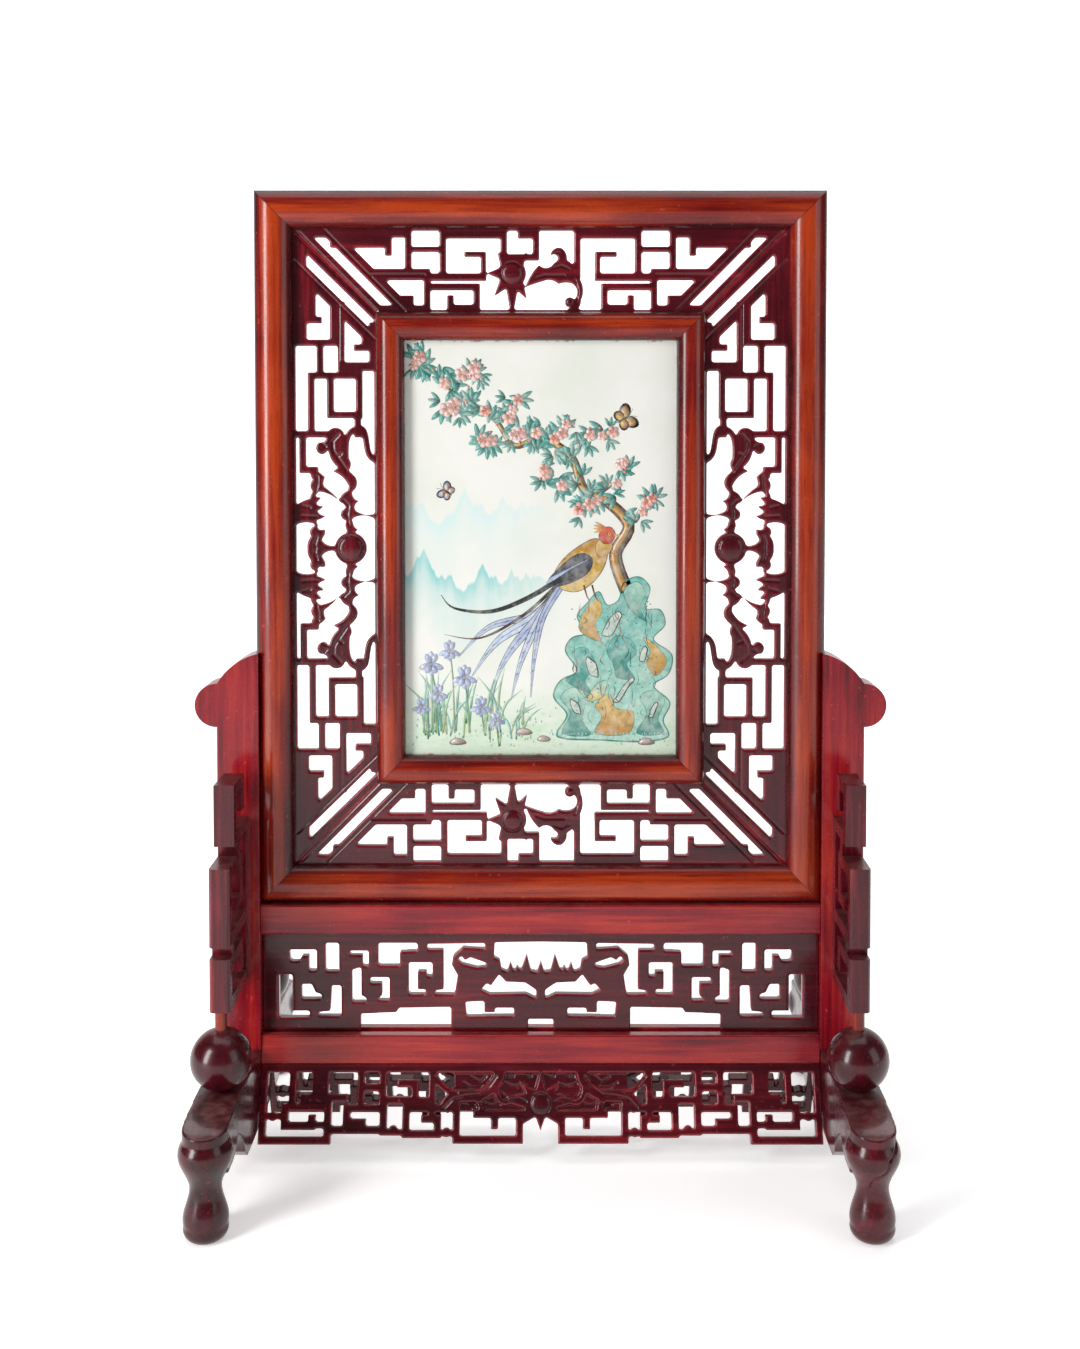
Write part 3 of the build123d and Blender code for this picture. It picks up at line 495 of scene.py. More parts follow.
class SCREEN_OT_frame_members(bpy.types.Operator):
    """Stain the mouldings of the screen and the hidden parts behind the plaque"""

    bl_idname = "table_screen.frame_members"
    bl_label = "Frame mouldings"

    def execute(self, context):
        for ring, shade in (("outer", 0.0), ("inner", -0.04)):
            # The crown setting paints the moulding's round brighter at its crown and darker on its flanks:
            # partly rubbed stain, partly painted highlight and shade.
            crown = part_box(f"{ring}_rail_top")[0].y
            look = {"crown": (crown, crown + CROWN_DEPTH), "shade": shade}
            for end in ("top", "bottom"):
                coat_node(f"{ring}_rail_{end}", stained("frame", "X", f"_{ring}", **look))
            for hand in ("left", "right"):
                coat_node(f"{ring}_stile_{hand}", stained("frame", "Z", f"_{ring}", **look))
        for side, along in (("top", "X"), ("bottom", "X"), ("left", "Z"), ("right", "Z")):
            coat_node(f"back_bead_{side}", stained("member", along))
        coat_node("back_board", stained("carved", "Z", "_board"))
        return {"FINISHED"}


class SCREEN_OT_brads(bpy.types.Operator):
    """Drive small brads through the beads behind the plaque"""

    bl_idname = "table_screen.brads"
    bl_label = "Brads"

    def execute(self, context):
        low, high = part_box("back_bead_top")
        side_low, side_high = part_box("back_bead_left")
        above = (low.z + high.z) / 2 + BRAD_OFFSET
        aside = (side_low.x + side_high.x) / 2 - BRAD_OFFSET
        spots = []
        for share in (0.1, 0.5, 0.9):
            x = low.x + (high.x - low.x) * share
            spots += [(x, above), (x, 2 * screen_middle.z - above)]
        for share in (0.15, 0.38, 0.62, 0.85):
            z = side_low.z + (side_high.z - side_low.z) * share
            spots += [(aside, z), (-aside, z)]
        bm = bmesh.new()
        for x, z in spots:
            head = bmesh.ops.create_uvsphere(bm, u_segments=16, v_segments=8, radius=BRAD_RADIUS)["verts"]
            bmesh.ops.scale(bm, vec=(1, BRAD_FLATNESS, 1), verts=head)
            bmesh.ops.translate(bm, vec=(x, high.y - BRAD_SINK, z), verts=head)
        graph = Graph("brad_iron")
        rust = graph.noise(graph.objects(), 900, 4, 0.6)
        tone = graph.ramp(rust, [(0.4, (0.09, 0.075, 0.065)), (0.7, (0.2, 0.075, 0.03))])
        iron = graph.finish({"Base Color": tone, "Metallic": 0.8, "Roughness": 0.45}, rust, 0.05 * MM)
        piece("bead_brads", bm, "screen", iron)
        return {"FINISHED"}


class SCREEN_OT_stand_members(bpy.types.Operator):
    """Ease and stain the posts, rails and spandrels of the stand"""

    bl_idname = "table_screen.stand_members"
    bl_label = "Stand members"

    def execute(self, context):
        members = (("upper_rail", "X"), ("lower_rail", "X"), ("post_left", "Z"), ("post_right", "Z"))
        looks = {node: stained("member", along) for node, along in members}
        for depth in ("front", "back"):
            for hand in ("left", "right"):
                look = stained("carved", "Z", "_spandrel", calm=0.8, shade=-0.02)
                looks[f"spandrel_{depth}_{hand}"] = look
        for node, look in looks.items():
            bm = joined_copy(node)
            ease_edges(bm, context.scene.table_screen_carving.member_round)
            made = piece(f"{node}_eased", bm, "stand", look, False)
            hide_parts(node)
        return {"FINISHED"}


# Pierced panels

# A fret's pattern is laid out in steps: columns along its side, rows inward from its outer edge
fret_box = {"X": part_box("fret_top"), "Z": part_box("fret_left")}
TONGUE = 2.0 * MM
BAND = fret_box["X"][1].z - fret_box["X"][0].z - 2 * TONGUE
FRET_ROWS = 11
FRET_STEPS = {"X": 66, "Z": 86}


def on_fret(along, side, column, row):
    """The point on a fret panel's face at a column and a row of its pattern."""
    low, high = fret_box[along]
    axis = "XYZ".index(along)
    start = low[axis] + TONGUE
    span = high[axis] - low[axis] - 2 * TONGUE
    reach = start + span * column / FRET_STEPS[along]
    outer = (high.z if along == "X" else -low.x) - TONGUE
    depth = outer - BAND * row / FRET_ROWS
    if along == "X":
        z = depth if side > 0 else 2 * screen_middle.z - depth
        return Vector((reach, 0, z))
    return Vector((depth * side, 0, reach))


# Lines cut in the frets: beside the mitres, on the beasts, and on the short frets' clouds
CORNER_LINES = [
    [(4.35, 0.3), (15, 10.95)],
    [(0.9, 0.5), (11.3, 10.9)],
    [(10.2, 6.1), (17.6, 6.1)],
]
BEAST_LINES = [
    [(27.6, 6.1), (28.6, 5.2), (29.8, 5.3), (31.2, 6.2), (32.8, 7.3)],
    [(28.9, 3.9), (29.3, 4.3)],
    [(30.2, 6.4), (30.6, 5.8)],
    [(36.4, 6.5), (37.2, 7.3), (38.4, 7.1), (39.8, 7.3)],
    [(37.2, 1.2), (37.5, 2.2)],
    [(38.6, 1.2), (38.7, 3.2)],
    [(33.2, 3.2), (34.2, 3.2), (35.6, 2.9)],
    [(41.4, 3.1), (42.4, 2.8), (43, 2.9)],
]
SHORT_LINES = [
    [(32.4, 6.6), (33.4, 6.2), (34.8, 6.2), (36.2, 6.2)],
    [(34.6, 5.3), (35.8, 4.9), (36.8, 5.4)],
    [(35.0, 3.2), (35.5, 3.2)],
    [(37.6, 6.8), (38.0, 8.2), (37.8, 9.8)],
]


# Pearls: column and row, then radius and rise in millimetres
PEARLS = {
    "X": [((29.2, 5.9), 8.0, 1.6), ((36.9, 9.7), 3.0, 0.8)],
    "Z": [((43, 7.5), 9.6, 1.6)],
}


def mirrored(lines, total):
    """The lines and their mirror images about the middle column."""
    return lines + [[(total - column, row) for column, row in line] for line in lines]


def carve_fret(bm, along, side, carving):
    """Grooves and raised pearls on the face of one fret panel."""
    total = FRET_STEPS[along]
    lines = mirrored(CORNER_LINES + (BEAST_LINES if along == "Z" else []), total)
    if along == "X":
        lines += SHORT_LINES
    paths = [[on_fret(along, side, *spot) for spot in line] for line in lines]
    engrave(bm, FRONT, paths, carving.groove_width, carving.groove_depth)
    for spot, radius, rise in PEARLS[along]:
        emboss(bm, FRONT, on_fret(along, side, *spot), radius * MM, rise * MM)


# An apron's pattern: columns along it and rows down its slope, from its top edge at the face
APRON_COLUMNS = 75
APRON_ROW = 4.41 * MM
APRON_TOP_Y = 8.5 * MM
APRON_PEARL = (APRON_COLUMNS / 2, 5)
APRON_LINES = [
    [(24.6, 5.6), (25.8, 4.4), (27.4, 4.0), (29.2, 3.9), (30.6, 2.9), (31.6, 1.6)],
    [(23.4, 1.6), (24.6, 2.9), (26.4, 3.7)],
    [(28.2, 1.7), (29.4, 2.3), (30.2, 1.6)],
    [(27.2, 2.4), (28.2, 3.0), (29.6, 3.0)],
    [(32.2, 3.6), (33.2, 4.6), (34.6, 4.3), (35.6, 4.8)],
    [(32.6, 2.4), (34.0, 2.9), (35.2, 2.4)],
    [(29.4, 4.9), (30.8, 5.2), (32.2, 5.1)],
]


def apron_outward(hand):
    """The way that an apron's face looks, in front (-1) or behind (1): it leans out downwards."""
    mesh = frame["nodes"]["apron_front"].data
    normal = max(mesh.polygons, key=lambda p: -p.normal.y * p.area).normal
    return Vector((0, -hand * normal.y, normal.z))


def carve_apron(bm, outward, carving):
    """Grooves on the beasts of an apron and the pearl between them."""
    low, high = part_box("apron_front")
    hand = 1 if outward.y > 0 else -1
    top = Vector((low.x, APRON_TOP_Y * hand, high.z))
    across = Vector(((high.x - low.x) / APRON_COLUMNS, 0, 0))
    down = Vector((0, outward.z * hand, -abs(outward.y))) * APRON_ROW

    def spot(column, row):
        return top + across * column + down * row

    lines = mirrored(APRON_LINES, APRON_COLUMNS)
    paths = [[spot(*point) for point in line] for line in lines]
    engrave(bm, outward, paths, carving.groove_width, carving.groove_depth)
    emboss(bm, outward, spot(*APRON_PEARL), 7.6 * MM, 1.4 * MM)


class SCREEN_OT_pierced_panels(bpy.types.Operator):
    """Carve the fret panels, the waist panel and the aprons"""

    bl_idname = "table_screen.pierced_panels"
    bl_label = "Pierced panels"

    def execute(self, context):
        carving = context.scene.table_screen_carving
        panels = [
            ("fret_top", "screen", "X", FRONT, 1),
            ("fret_bottom", "screen", "X", FRONT, -1),
            ("fret_left", "screen", "Z", FRONT, -1),
            ("fret_right", "screen", "Z", FRONT, 1),
            ("waist_panel", "stand", "X", FRONT, 0),
            ("apron_front", "stand", "X", apron_outward(-1), 0),
            ("apron_back", "stand", "X", apron_outward(1), 0),
        ]
        for node, body, along, outward, side in panels:
            bm = refine(joined_copy(node), carving.voxel)
            round_face(bm, outward, carving.bar_round, carving.bar_depth)
            if side:
                carve_fret(bm, along, side, carving)
            elif node.startswith("apron"):
                carve_apron(bm, outward, carving)
            # The carved wood's edges are painted brighter: partly rubbing, partly a painted highlight.
            rubbed_highlit_look = stained("carved", along, "_worn", worn=0.26, calm=0.6, shade=-0.035)
            made = piece(f"{node}_carved", bm, body, rubbed_highlit_look)
            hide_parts(node)
        return {"FINISHED"}


# Feet and balls

# A drying crack in a turned end, from the end's middle and the floor, in millimetres
CRACK = [(12.5, 58), (10.5, 52), (6.5, 48), (4.5, 42), (-0.5, 38), (-3, 32)]
CRACK_REACH = 0.95 * MM
CRACK_STEEPNESS = 1.3
TURNED_END_Y = -85 * MM


def split_turned_end(bm, middle):
    """Cuts the drying crack across the front of a turned end."""
    bm.normal_update()
    count = 12 * len(CRACK)
    spots = [along_path(CRACK, index / (count - 1)) for index in range(count)]
    tree = flat_tree([Vector((middle + spot.x * MM, 0, spot.y * MM)) for spot in spots], FRONT)
    for vert in bm.verts:
        if vert.co.y < TURNED_END_Y and vert.normal.y < 0.1:
            gap = tree.find((vert.co.x, 0, vert.co.z))[2]
            if gap < CRACK_REACH:
                vert.co -= vert.normal * CRACK_STEEPNESS * (CRACK_REACH - gap)


class SCREEN_OT_feet(bpy.types.Operator):
    """Shape and stain the feet, the drum balls and their dowels"""

    bl_idname = "table_screen.feet"
    bl_label = "Feet and balls"

    def execute(self, context):
        for hand in ("left", "right"):
            foot = f"foot_{hand}"
            bm = refine(joined_copy(foot), context.scene.table_screen_carving.foot_voxel)
            bmesh.ops.smooth_vert(
                bm, verts=bm.verts, factor=0.5, use_axis_x=True, use_axis_y=True, use_axis_z=True
            )
            if hand == "right":
                low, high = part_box(foot)
                split_turned_end(bm, (low.x + high.x) / 2)
            look = stained("carved", "Y", "_turned", calm=0.6, shade=-0.06)
            made = piece(f"{foot}_turned", bm, "stand", look)
            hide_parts(foot)
            for depth in ("front", "back"):
                look = stained("carved", "Z", "_ball", calm=0.5, shade=-0.06)
                coat_node(f"ball_{depth}_{hand}", look)
        coat_node("ball_dowels", stained("frame", "Z", "_dowel"))
        return {"FINISHED"}


# The plaque and its painting

# Far hills: height of the foot, rise, fineness of the ridge, colour and strength
HILLS = [
    (-38, 130, 26, (0.5, 0.72, 0.73), 0.7),
    (-66, 100, 34, (0.2, 0.55, 0.54), 0.95),
]

# Washes of the ground, of its moss and of the flecks along the frame
GROUND_GREEN = (0.42, 0.62, 0.4)
MOSS_GREEN = (0.16, 0.42, 0.3)
RIM_BROWN = (0.42, 0.12, 0.06)

# Pigments
INK = (0.02, 0.022, 0.025)
SLATE = (0.09, 0.1, 0.13)
UMBER = (0.13, 0.055, 0.022)
OCHRE = (0.52, 0.25, 0.03)
STRAW = (0.75, 0.52, 0.16)
MADDER = (0.5, 0.09, 0.05)
CORAL = (0.66, 0.1, 0.055)
PINK = (0.82, 0.36, 0.33)
BLUSH = (0.87, 0.66, 0.6)
VIOLET = (0.12, 0.13, 0.4)
LAVENDER = (0.33, 0.4, 0.68)
PALE_BLUE = (0.6, 0.68, 0.84)
TEAL = (0.035, 0.25, 0.2)
TURQUOISE = (0.16, 0.5, 0.44)
MINT = (0.42, 0.7, 0.58)
SAGE = (0.3, 0.42, 0.12)
CLAY = (0.5, 0.36, 0.3)
SAND = (0.72, 0.62, 0.56)
HAZE = (0.5, 0.62, 0.55)
PALE_HAZE = (0.66, 0.7, 0.62)

# Touches of enamel, in millimetres: how deep they root in the glaze, how high the first one
# stands, how much higher each next one lies, and the thinnest line
TOUCH_ROOT = 0.04
FIRST_TOUCH = 0.05
TOUCH_RISE = 0.0002
THINNEST_LINE = 0.08


def glaze_with_washes():
    """White glaze with washes of hills, ground and moss; heights are in millimetres."""
    graph = Graph("porcelain_glaze")
    here = graph.objects()
    place = graph.parts(here)
    across = graph.times(place["X"], 1 / MM)
    up = graph.times(graph.minus(place["Z"], screen_middle.z), 1 / MM)
    whites = [(0.35, (0.69, 0.71, 0.64)), (0.55, (0.75, 0.745, 0.7)), (0.7, (0.77, 0.755, 0.72))]
    tone = graph.ramp(graph.noise(here, 14, 4, 0.55), whites)

    patches = graph.noise(here, 38, 5, 0.62)
    uneven = graph.ramp(patches, [(0.3, 0.5), (0.6, 1)])
    share = graph.math("DIVIDE", graph.plus(across, sight_wide / 2), sight_wide)
    side = graph.ramp(share, [(0.3, 1), (0.62, 0)])
    for base, rise, fineness, pigment, amount in HILLS:
        ridge = graph.noise(graph.stretch(here, (fineness, 0, 0)), 1, 4, 0.55)
        crest = graph.plus(graph.times(ridge, rise), base)
        below = graph.math("DIVIDE", graph.minus(crest, up), 60.0)
        cover = graph.ramp(below, [(0.0, 0), (0.03, amount), (0.2, amount * 0.45), (0.8, 0)])
        cover = graph.times(graph.times(cover, side), uneven)
        tone = graph.mix(cover, tone, pigment)

    low = graph.plus(graph.plus(up, graph.times(patches, 26.0)), sight_tall / 2)
    ground = graph.ramp(graph.math("DIVIDE", low, 80.0), [(0.35, 0.75), (0.72, 0.0)])
    brush = graph.noise(graph.stretch(here, (60, 60, 260)), 1, 4, 0.6)
    ground = graph.times(ground, graph.ramp(brush, [(0.3, 0.45), (0.7, 1)]))
    tone = graph.mix(ground, tone, GROUND_GREEN)
    moss = graph.ramp(graph.noise(here, 420, 3, 0.7), [(0.56, 0), (0.66, 0.5)])
    tone = graph.mix(graph.times(moss, ground), tone, MOSS_GREEN)

    rim = graph.minus(sight_tall / 2 - 0.4, graph.math("ABSOLUTE", up))
    chips = graph.ramp(graph.noise(here, 130, 4, 0.7), [(0.5, 0), (0.6, 0.8)])
    flecks = graph.times(graph.ramp(rim, [(0.0, 1), (0.9, 0)]), chips)
    tone = graph.mix(flecks, tone, RIM_BROWN)
    surface = {"Base Color": tone, "Roughness": 0.14, "IOR": 1.5, "Coat Weight": 0.3, "Coat Roughness": 0.05}
    return graph.finish(surface, graph.noise(here, 55, 3, 0.5), 0.03 * MM, 0.25)


class SCREEN_OT_plaque(bpy.types.Operator):
    """Glaze the plaque and lay the pale washes of ground, mist and far hills"""

    bl_idname = "table_screen.plaque"
    bl_label = "Plaque"

    def execute(self, context):
        coat_node("plaque", glaze_with_washes())
        return {"FINISHED"}


def beside(u, v, turn, reach):
    """The point a reach away from another, in a direction given in degrees."""
    heading = math.radians(turn)
    return u + reach * math.cos(heading), v + reach * math.sin(heading)


def along_path(points, share, closed=False):
    """The point at a share of the way along a smooth path."""
    count = len(points) if closed else len(points) - 1
    spot = share * count
    first = int(spot) if closed else min(int(spot), count - 1)
    way = spot - first
    picks = []
    for step in (-1, 0, 1, 2):
        index = first + step
        index = index % len(points) if closed else min(max(index, 0), len(points) - 1)
        picks.append(Vector(points[index]))
    a, b, c, d = picks
    bend = (c - a) * way + (2 * a - 5 * b + 4 * c - d) * way**2 + (3 * b - a - 3 * c + d) * way**3
    return b + bend * 0.5


class Painter:
    """Lays dabs, strokes and patches of raised enamel, placed from the plaque's middle.

    Lengths are in millimetres. Every touch lies a little higher than the one before.
    """

    def __init__(self, seed):
        self.bm = bmesh.new()
        self.pigment = self.bm.verts.layers.float_color.new("pigment")
        self.height = self.bm.verts.layers.float.new("height")
        self.luck = random.Random(seed)
        self.level = FIRST_TOUCH

    def settle(self, vert, u, v, colour):
        vert.co = (u * MM, glaze_y + TOUCH_ROOT * MM, screen_middle.z + v * MM)
        vert[self.pigment] = (*colour, 1)
        vert[self.height] = self.level

    def near(self, spot, spread):
        """A point by chance round a spot."""
        return spot.x + self.luck.uniform(-spread, spread), spot.y + self.luck.uniform(-spread, spread)

    def blend(self, first, second, share):
        return [a + (b - a) * share for a, b in zip(first, second)]

    def dab(self, u, v, length, width, turn, root, tip, point=0.4):
        """A petal or leaf that grows from a point the way it is turned, in degrees."""
        made = bmesh.ops.create_circle(self.bm, cap_ends=True, segments=12, radius=1)["verts"]
        heading = math.radians(turn)
        for vert in made:
            angle = math.atan2(vert.co.y, vert.co.x)
            share = (1 + math.cos(angle)) / 2
            bulge = math.sin(angle) * abs(math.sin(angle)) ** point * width / 2
            reach = share * length
            self.settle(
                vert,
                u + reach * math.cos(heading) - bulge * math.sin(heading),
                v + reach * math.sin(heading) + bulge * math.cos(heading),
                self.blend(root, tip, share),
            )
        self.level += TOUCH_RISE

    def stroke(self, points, widths, first, last=None, steps=14):
        """A brush line; the widths are those at its start, middle and end."""
        made = bmesh.ops.create_grid(self.bm, x_segments=steps, y_segments=1, size=1)["verts"]
        for vert in made:
            share = (vert.co.x + 1) / 2
            hand = 1 if vert.co.y > 0 else -1
            spot = along_path(points, share)
            before, after = max(0, share - 0.01), min(1, share + 0.01)
            ahead = along_path(points, after) - along_path(points, before)
            across = Vector((-ahead.y, ahead.x)).normalized()
            width = along_path([(w, 0) for w in widths], share).x
            spot += across * hand * max(width, THINNEST_LINE) / 2
            self.settle(vert, spot.x, spot.y, self.blend(first, last or first, share))
        self.level += TOUCH_RISE

    def patch(self, points, low_colour, high_colour, outline=None, width=0.5):
        """A closed smooth patch, shaded from its foot to its top, with a drawn edge."""
        count = len(points)
        made = bmesh.ops.create_circle(self.bm, cap_ends=True, segments=5 * count, radius=1)["verts"]
        foot = min(v for u, v in points)
        span = max(v for u, v in points) - foot
        for vert in made:
            share = (math.atan2(vert.co.y, vert.co.x) / math.tau) % 1.0
            spot = along_path(points, share, closed=True)
            tone = self.blend(low_colour, high_colour, min(1, max(0, (spot.y - foot) / span)))
            self.settle(vert, spot.x, spot.y, tone)
        self.level += TOUCH_RISE
        if outline:
            shares = [k / (3 * count) % 1.0 for k in range(3 * count + 1)]
            edge = [tuple(along_path(points, share, closed=True)) for share in shares]
            self.stroke(edge, (width, width * 0.6, width), outline, steps=6 * count)

    def finish(self, name, soft=True):
        """Raises every touch from the glaze and hands over the piece."""
        made = bmesh.ops.extrude_face_region(self.bm, geom=self.bm.faces[:])["geom"]
        for vert in made:
            if isinstance(vert, bmesh.types.BMVert):
                vert.co.y = glaze_y - vert[self.height] * MM
        bmesh.ops.recalc_face_normals(self.bm, faces=self.bm.faces)
        return piece(name, self.bm, "screen", enamel(), soft)


def enamel():
    """Glossy overglaze enamel that takes its pigment from the mesh."""
    if "overglaze_enamel" in bpy.data.materials:
        return bpy.data.materials["overglaze_enamel"]
    graph = Graph("overglaze_enamel")
    here = graph.objects()
    pigment = graph.add("ShaderNodeAttribute", attribute_name="pigment").outputs["Color"]
    pooling = graph.ramp(graph.noise(here, 260, 4, 0.65), [(0.3, 0.55), (0.7, 0.98)])
    tone = graph.mix(1.0, pigment, pooling, "MULTIPLY")
    thin = graph.ramp(graph.noise(here, 120, 3, 0.6), [(0.42, 0.0), (0.72, 0.36)])
    tone = graph.mix(thin, tone, (0.72, 0.72, 0.66))
    surface = {"Base Color": tone, "Roughness": 0.2, "IOR": 1.5, "Coat Weight": 0.5, "Coat Roughness": 0.06}
    return graph.finish(surface)


def paint_rock():
    """A pierced garden rock in turquoise and ochre, on the right."""
    brush = Painter(3)
    body = [
        (10, -114), (16, -101), (8, -90), (12, -80), (22, -74), (15, -62), (19, -54), (27, -51),
        (22, -41), (28, -33), (35, -26), (40, -34), (47, -31), (50, -21), (59, -17), (66, -24),
        (63, -36), (72, -37), (75, -46), (68, -55), (79, -64), (77, -76), (68, -83), (78, -93),
        (74, -104), (77, -114), (60, -117), (36, -116),
    ]
    brush.patch(body, MINT, TURQUOISE, TEAL, 1.0)
    facets = [
        ([(13, -112), (18, -100), (12, -90), (20, -84), (27, -92), (25, -104), (30, -113)], TEAL, MINT),
        ([(58, -112), (64, -100), (60, -90), (68, -86), (75, -92), (71, -103), (74, -112)], TEAL, MINT),
        ([(24, -50), (25, -40), (34, -30), (37, -38), (33, -46), (36, -56)], OCHRE, STRAW),
        ([(50, -26), (58, -20), (63, -27), (60, -36), (64, -44), (55, -38)], TEAL, MINT),
        ([(33, -112), (37, -102), (33, -95), (41, -88), (46, -97), (56, -99), (53, -112)], OCHRE, STRAW),
        ([(62, -54), (69, -58), (76, -68), (70, -77), (64, -70), (66, -62)], OCHRE, STRAW),
        ([(15, -80), (24, -74), (19, -63), (27, -60), (33, -70), (27, -80), (31, -88)], TEAL, TURQUOISE),
        (
            [(40, -62), (45, -53), (54, -55), (58, -63), (52, -70), (57, -79), (46, -78), (44, -70)],
            TEAL, TURQUOISE,
        ),
        ([(28, -92), (33, -83), (40, -80), (37, -90)], STRAW, MINT),
    ]
    for points, low, high in facets:
        brush.patch(points, low, high, TEAL, 0.45)
    for u, v, wide, tall, lean in (
        (43, -46, 4.5, 8, 0.5), (31, -72, 2.6, 6.5, -0.4), (50, -86, 3, 8, 0.7),
        (62, -64, 2.2, 5, 0.2), (21, -96, 2, 5, -0.5), (68, -98, 2, 5, 0.4),
    ):
        hole = []
        for k in (0, 0.9, 1.7, 2.6, 3.5, 4.3, 5.4):
            along = wide * math.cos(k) + lean * tall * math.sin(k)
            hole.append((u + along, v + tall * math.sin(k + 0.3 * math.cos(2 * k))))
        brush.patch(hole, HAZE, PALE_HAZE, INK, 0.8)
    luck = brush.luck
    for _ in range(90):
        u, v = luck.uniform(18, 72), luck.uniform(-112, -32)
        brush.dab(u, v, luck.uniform(0.7, 1.5), 0.8, luck.uniform(0, 360), TEAL, TEAL)
    for _ in range(75):
        u, v = luck.uniform(19, 70), luck.uniform(-110, -38)
        bend = luck.uniform(-4, 4)
        rise = luck.uniform(4, 12)
        tone = luck.choice((TEAL, TEAL, INK, UMBER))
        crease = [(u, v), (u + bend, v + rise * 0.5), (u + bend * 0.3, v + rise)]
        brush.stroke(crease, (0.15, 0.5, 0.1), tone, steps=7)
    brush.finish("painted_rock", False)


def blossom(brush, u, v, size, shade):
    """Five petals round a straw heart."""
    start = brush.luck.uniform(0, 72)
    for turn in (start + 72 * k for k in range(5)):
        brush.dab(u, v, size, size * 0.86, turn, shade, BLUSH, 0.1)
        brush.dab(*beside(u, v, turn, 0.2 * size), size * 0.5, 0.3, turn, CORAL, PINK, 0.8)
    for turn in (start + 36 + 72 * k for k in range(5)):
        brush.dab(*beside(u, v, turn, 0.22 * size), 0.6, 0.6, 0, STRAW, STRAW, 0)


def sprig(brush, u, v, size, turn):
    """Three narrow leaves on a short stalk."""
    for spread in (-38, 0, 38):
        brush.dab(u, v, size, size * 0.32, turn + spread, TEAL, TURQUOISE, 0.5)
        vein = [(u, v), beside(u, v, turn + spread, 0.85 * size)]
        brush.stroke(vein, (0.22, 0.2, 0.08), INK, steps=2)


def paint_branch():
    """An old flowering branch that rises from the rock towards the upper left."""
    brush = Painter(11)
    main = [
        (52, -26), (45, -4), (53, 14), (38, 30), (26, 36), (18, 56), (0, 66), (-16, 62),
        (-28, 78), (-48, 86), (-60, 104), (-75, 110),
    ]
    brush.stroke(main, (8.5, 4.6, 1.2), UMBER, UMBER, steps=60)
    brush.stroke([(u - 0.8, v + 0.6) for u, v in main], (4.2, 2.0, 0.3), OCHRE, STRAW, steps=60)
    luck = brush.luck
    for _ in range(34):
        spot = along_path(main, luck.uniform(0.02, 0.85))
        brush.dab(spot.x + luck.uniform(-2, 2), spot.y, 2.2, 0.5, luck.uniform(60, 140), INK, UMBER)
    twigs = []
    for k, share in enumerate((0.16, 0.24, 0.3, 0.38, 0.45, 0.52, 0.58, 0.66, 0.72, 0.79, 0.86, 0.93)):
        root = tuple(along_path(main, share))
        turn = 100 + (70 if k % 2 else -62) + luck.uniform(-16, 16)
        length = luck.uniform(16, 30) * (1.1 - 0.4 * share)
        bend = turn + math.degrees(luck.uniform(-0.5, 0.5))
        u, v = beside(*root, turn, length)
        end = (max(-74, min(74, u)), max(-20, min(118, v)))
        twigs.append([root, beside(*root, bend, length * 0.5), end])
        brush.stroke(twigs[-1], (1.8, 1.0, 0.35), UMBER, UMBER, steps=12)
    for twig in twigs + [main[6:], main[2:7]]:
        for _ in range(9 if len(twig) == 3 else 14):
            u, v = brush.near(along_path(twig, luck.uniform(0.3, 1.0)), 6)
            sprig(brush, u, v, luck.uniform(6, 10), luck.uniform(0, 360))
    for twig in twigs + [main[5:]]:
        for share in (0.55, 0.8, 1.0):
            u, v = brush.near(along_path(twig, share), 2.5)
            blossom(brush, u, v, luck.uniform(3.0, 4.8), luck.choice((CORAL, PINK, PINK)))
        for _ in range(3):
            u, v = brush.near(along_path(twig, luck.uniform(0.4, 1.0)), 5)
            brush.dab(u, v, 1.8, 1.5, luck.uniform(0, 360), CORAL, PINK, 0.2)
    brush.finish("painted_branch")


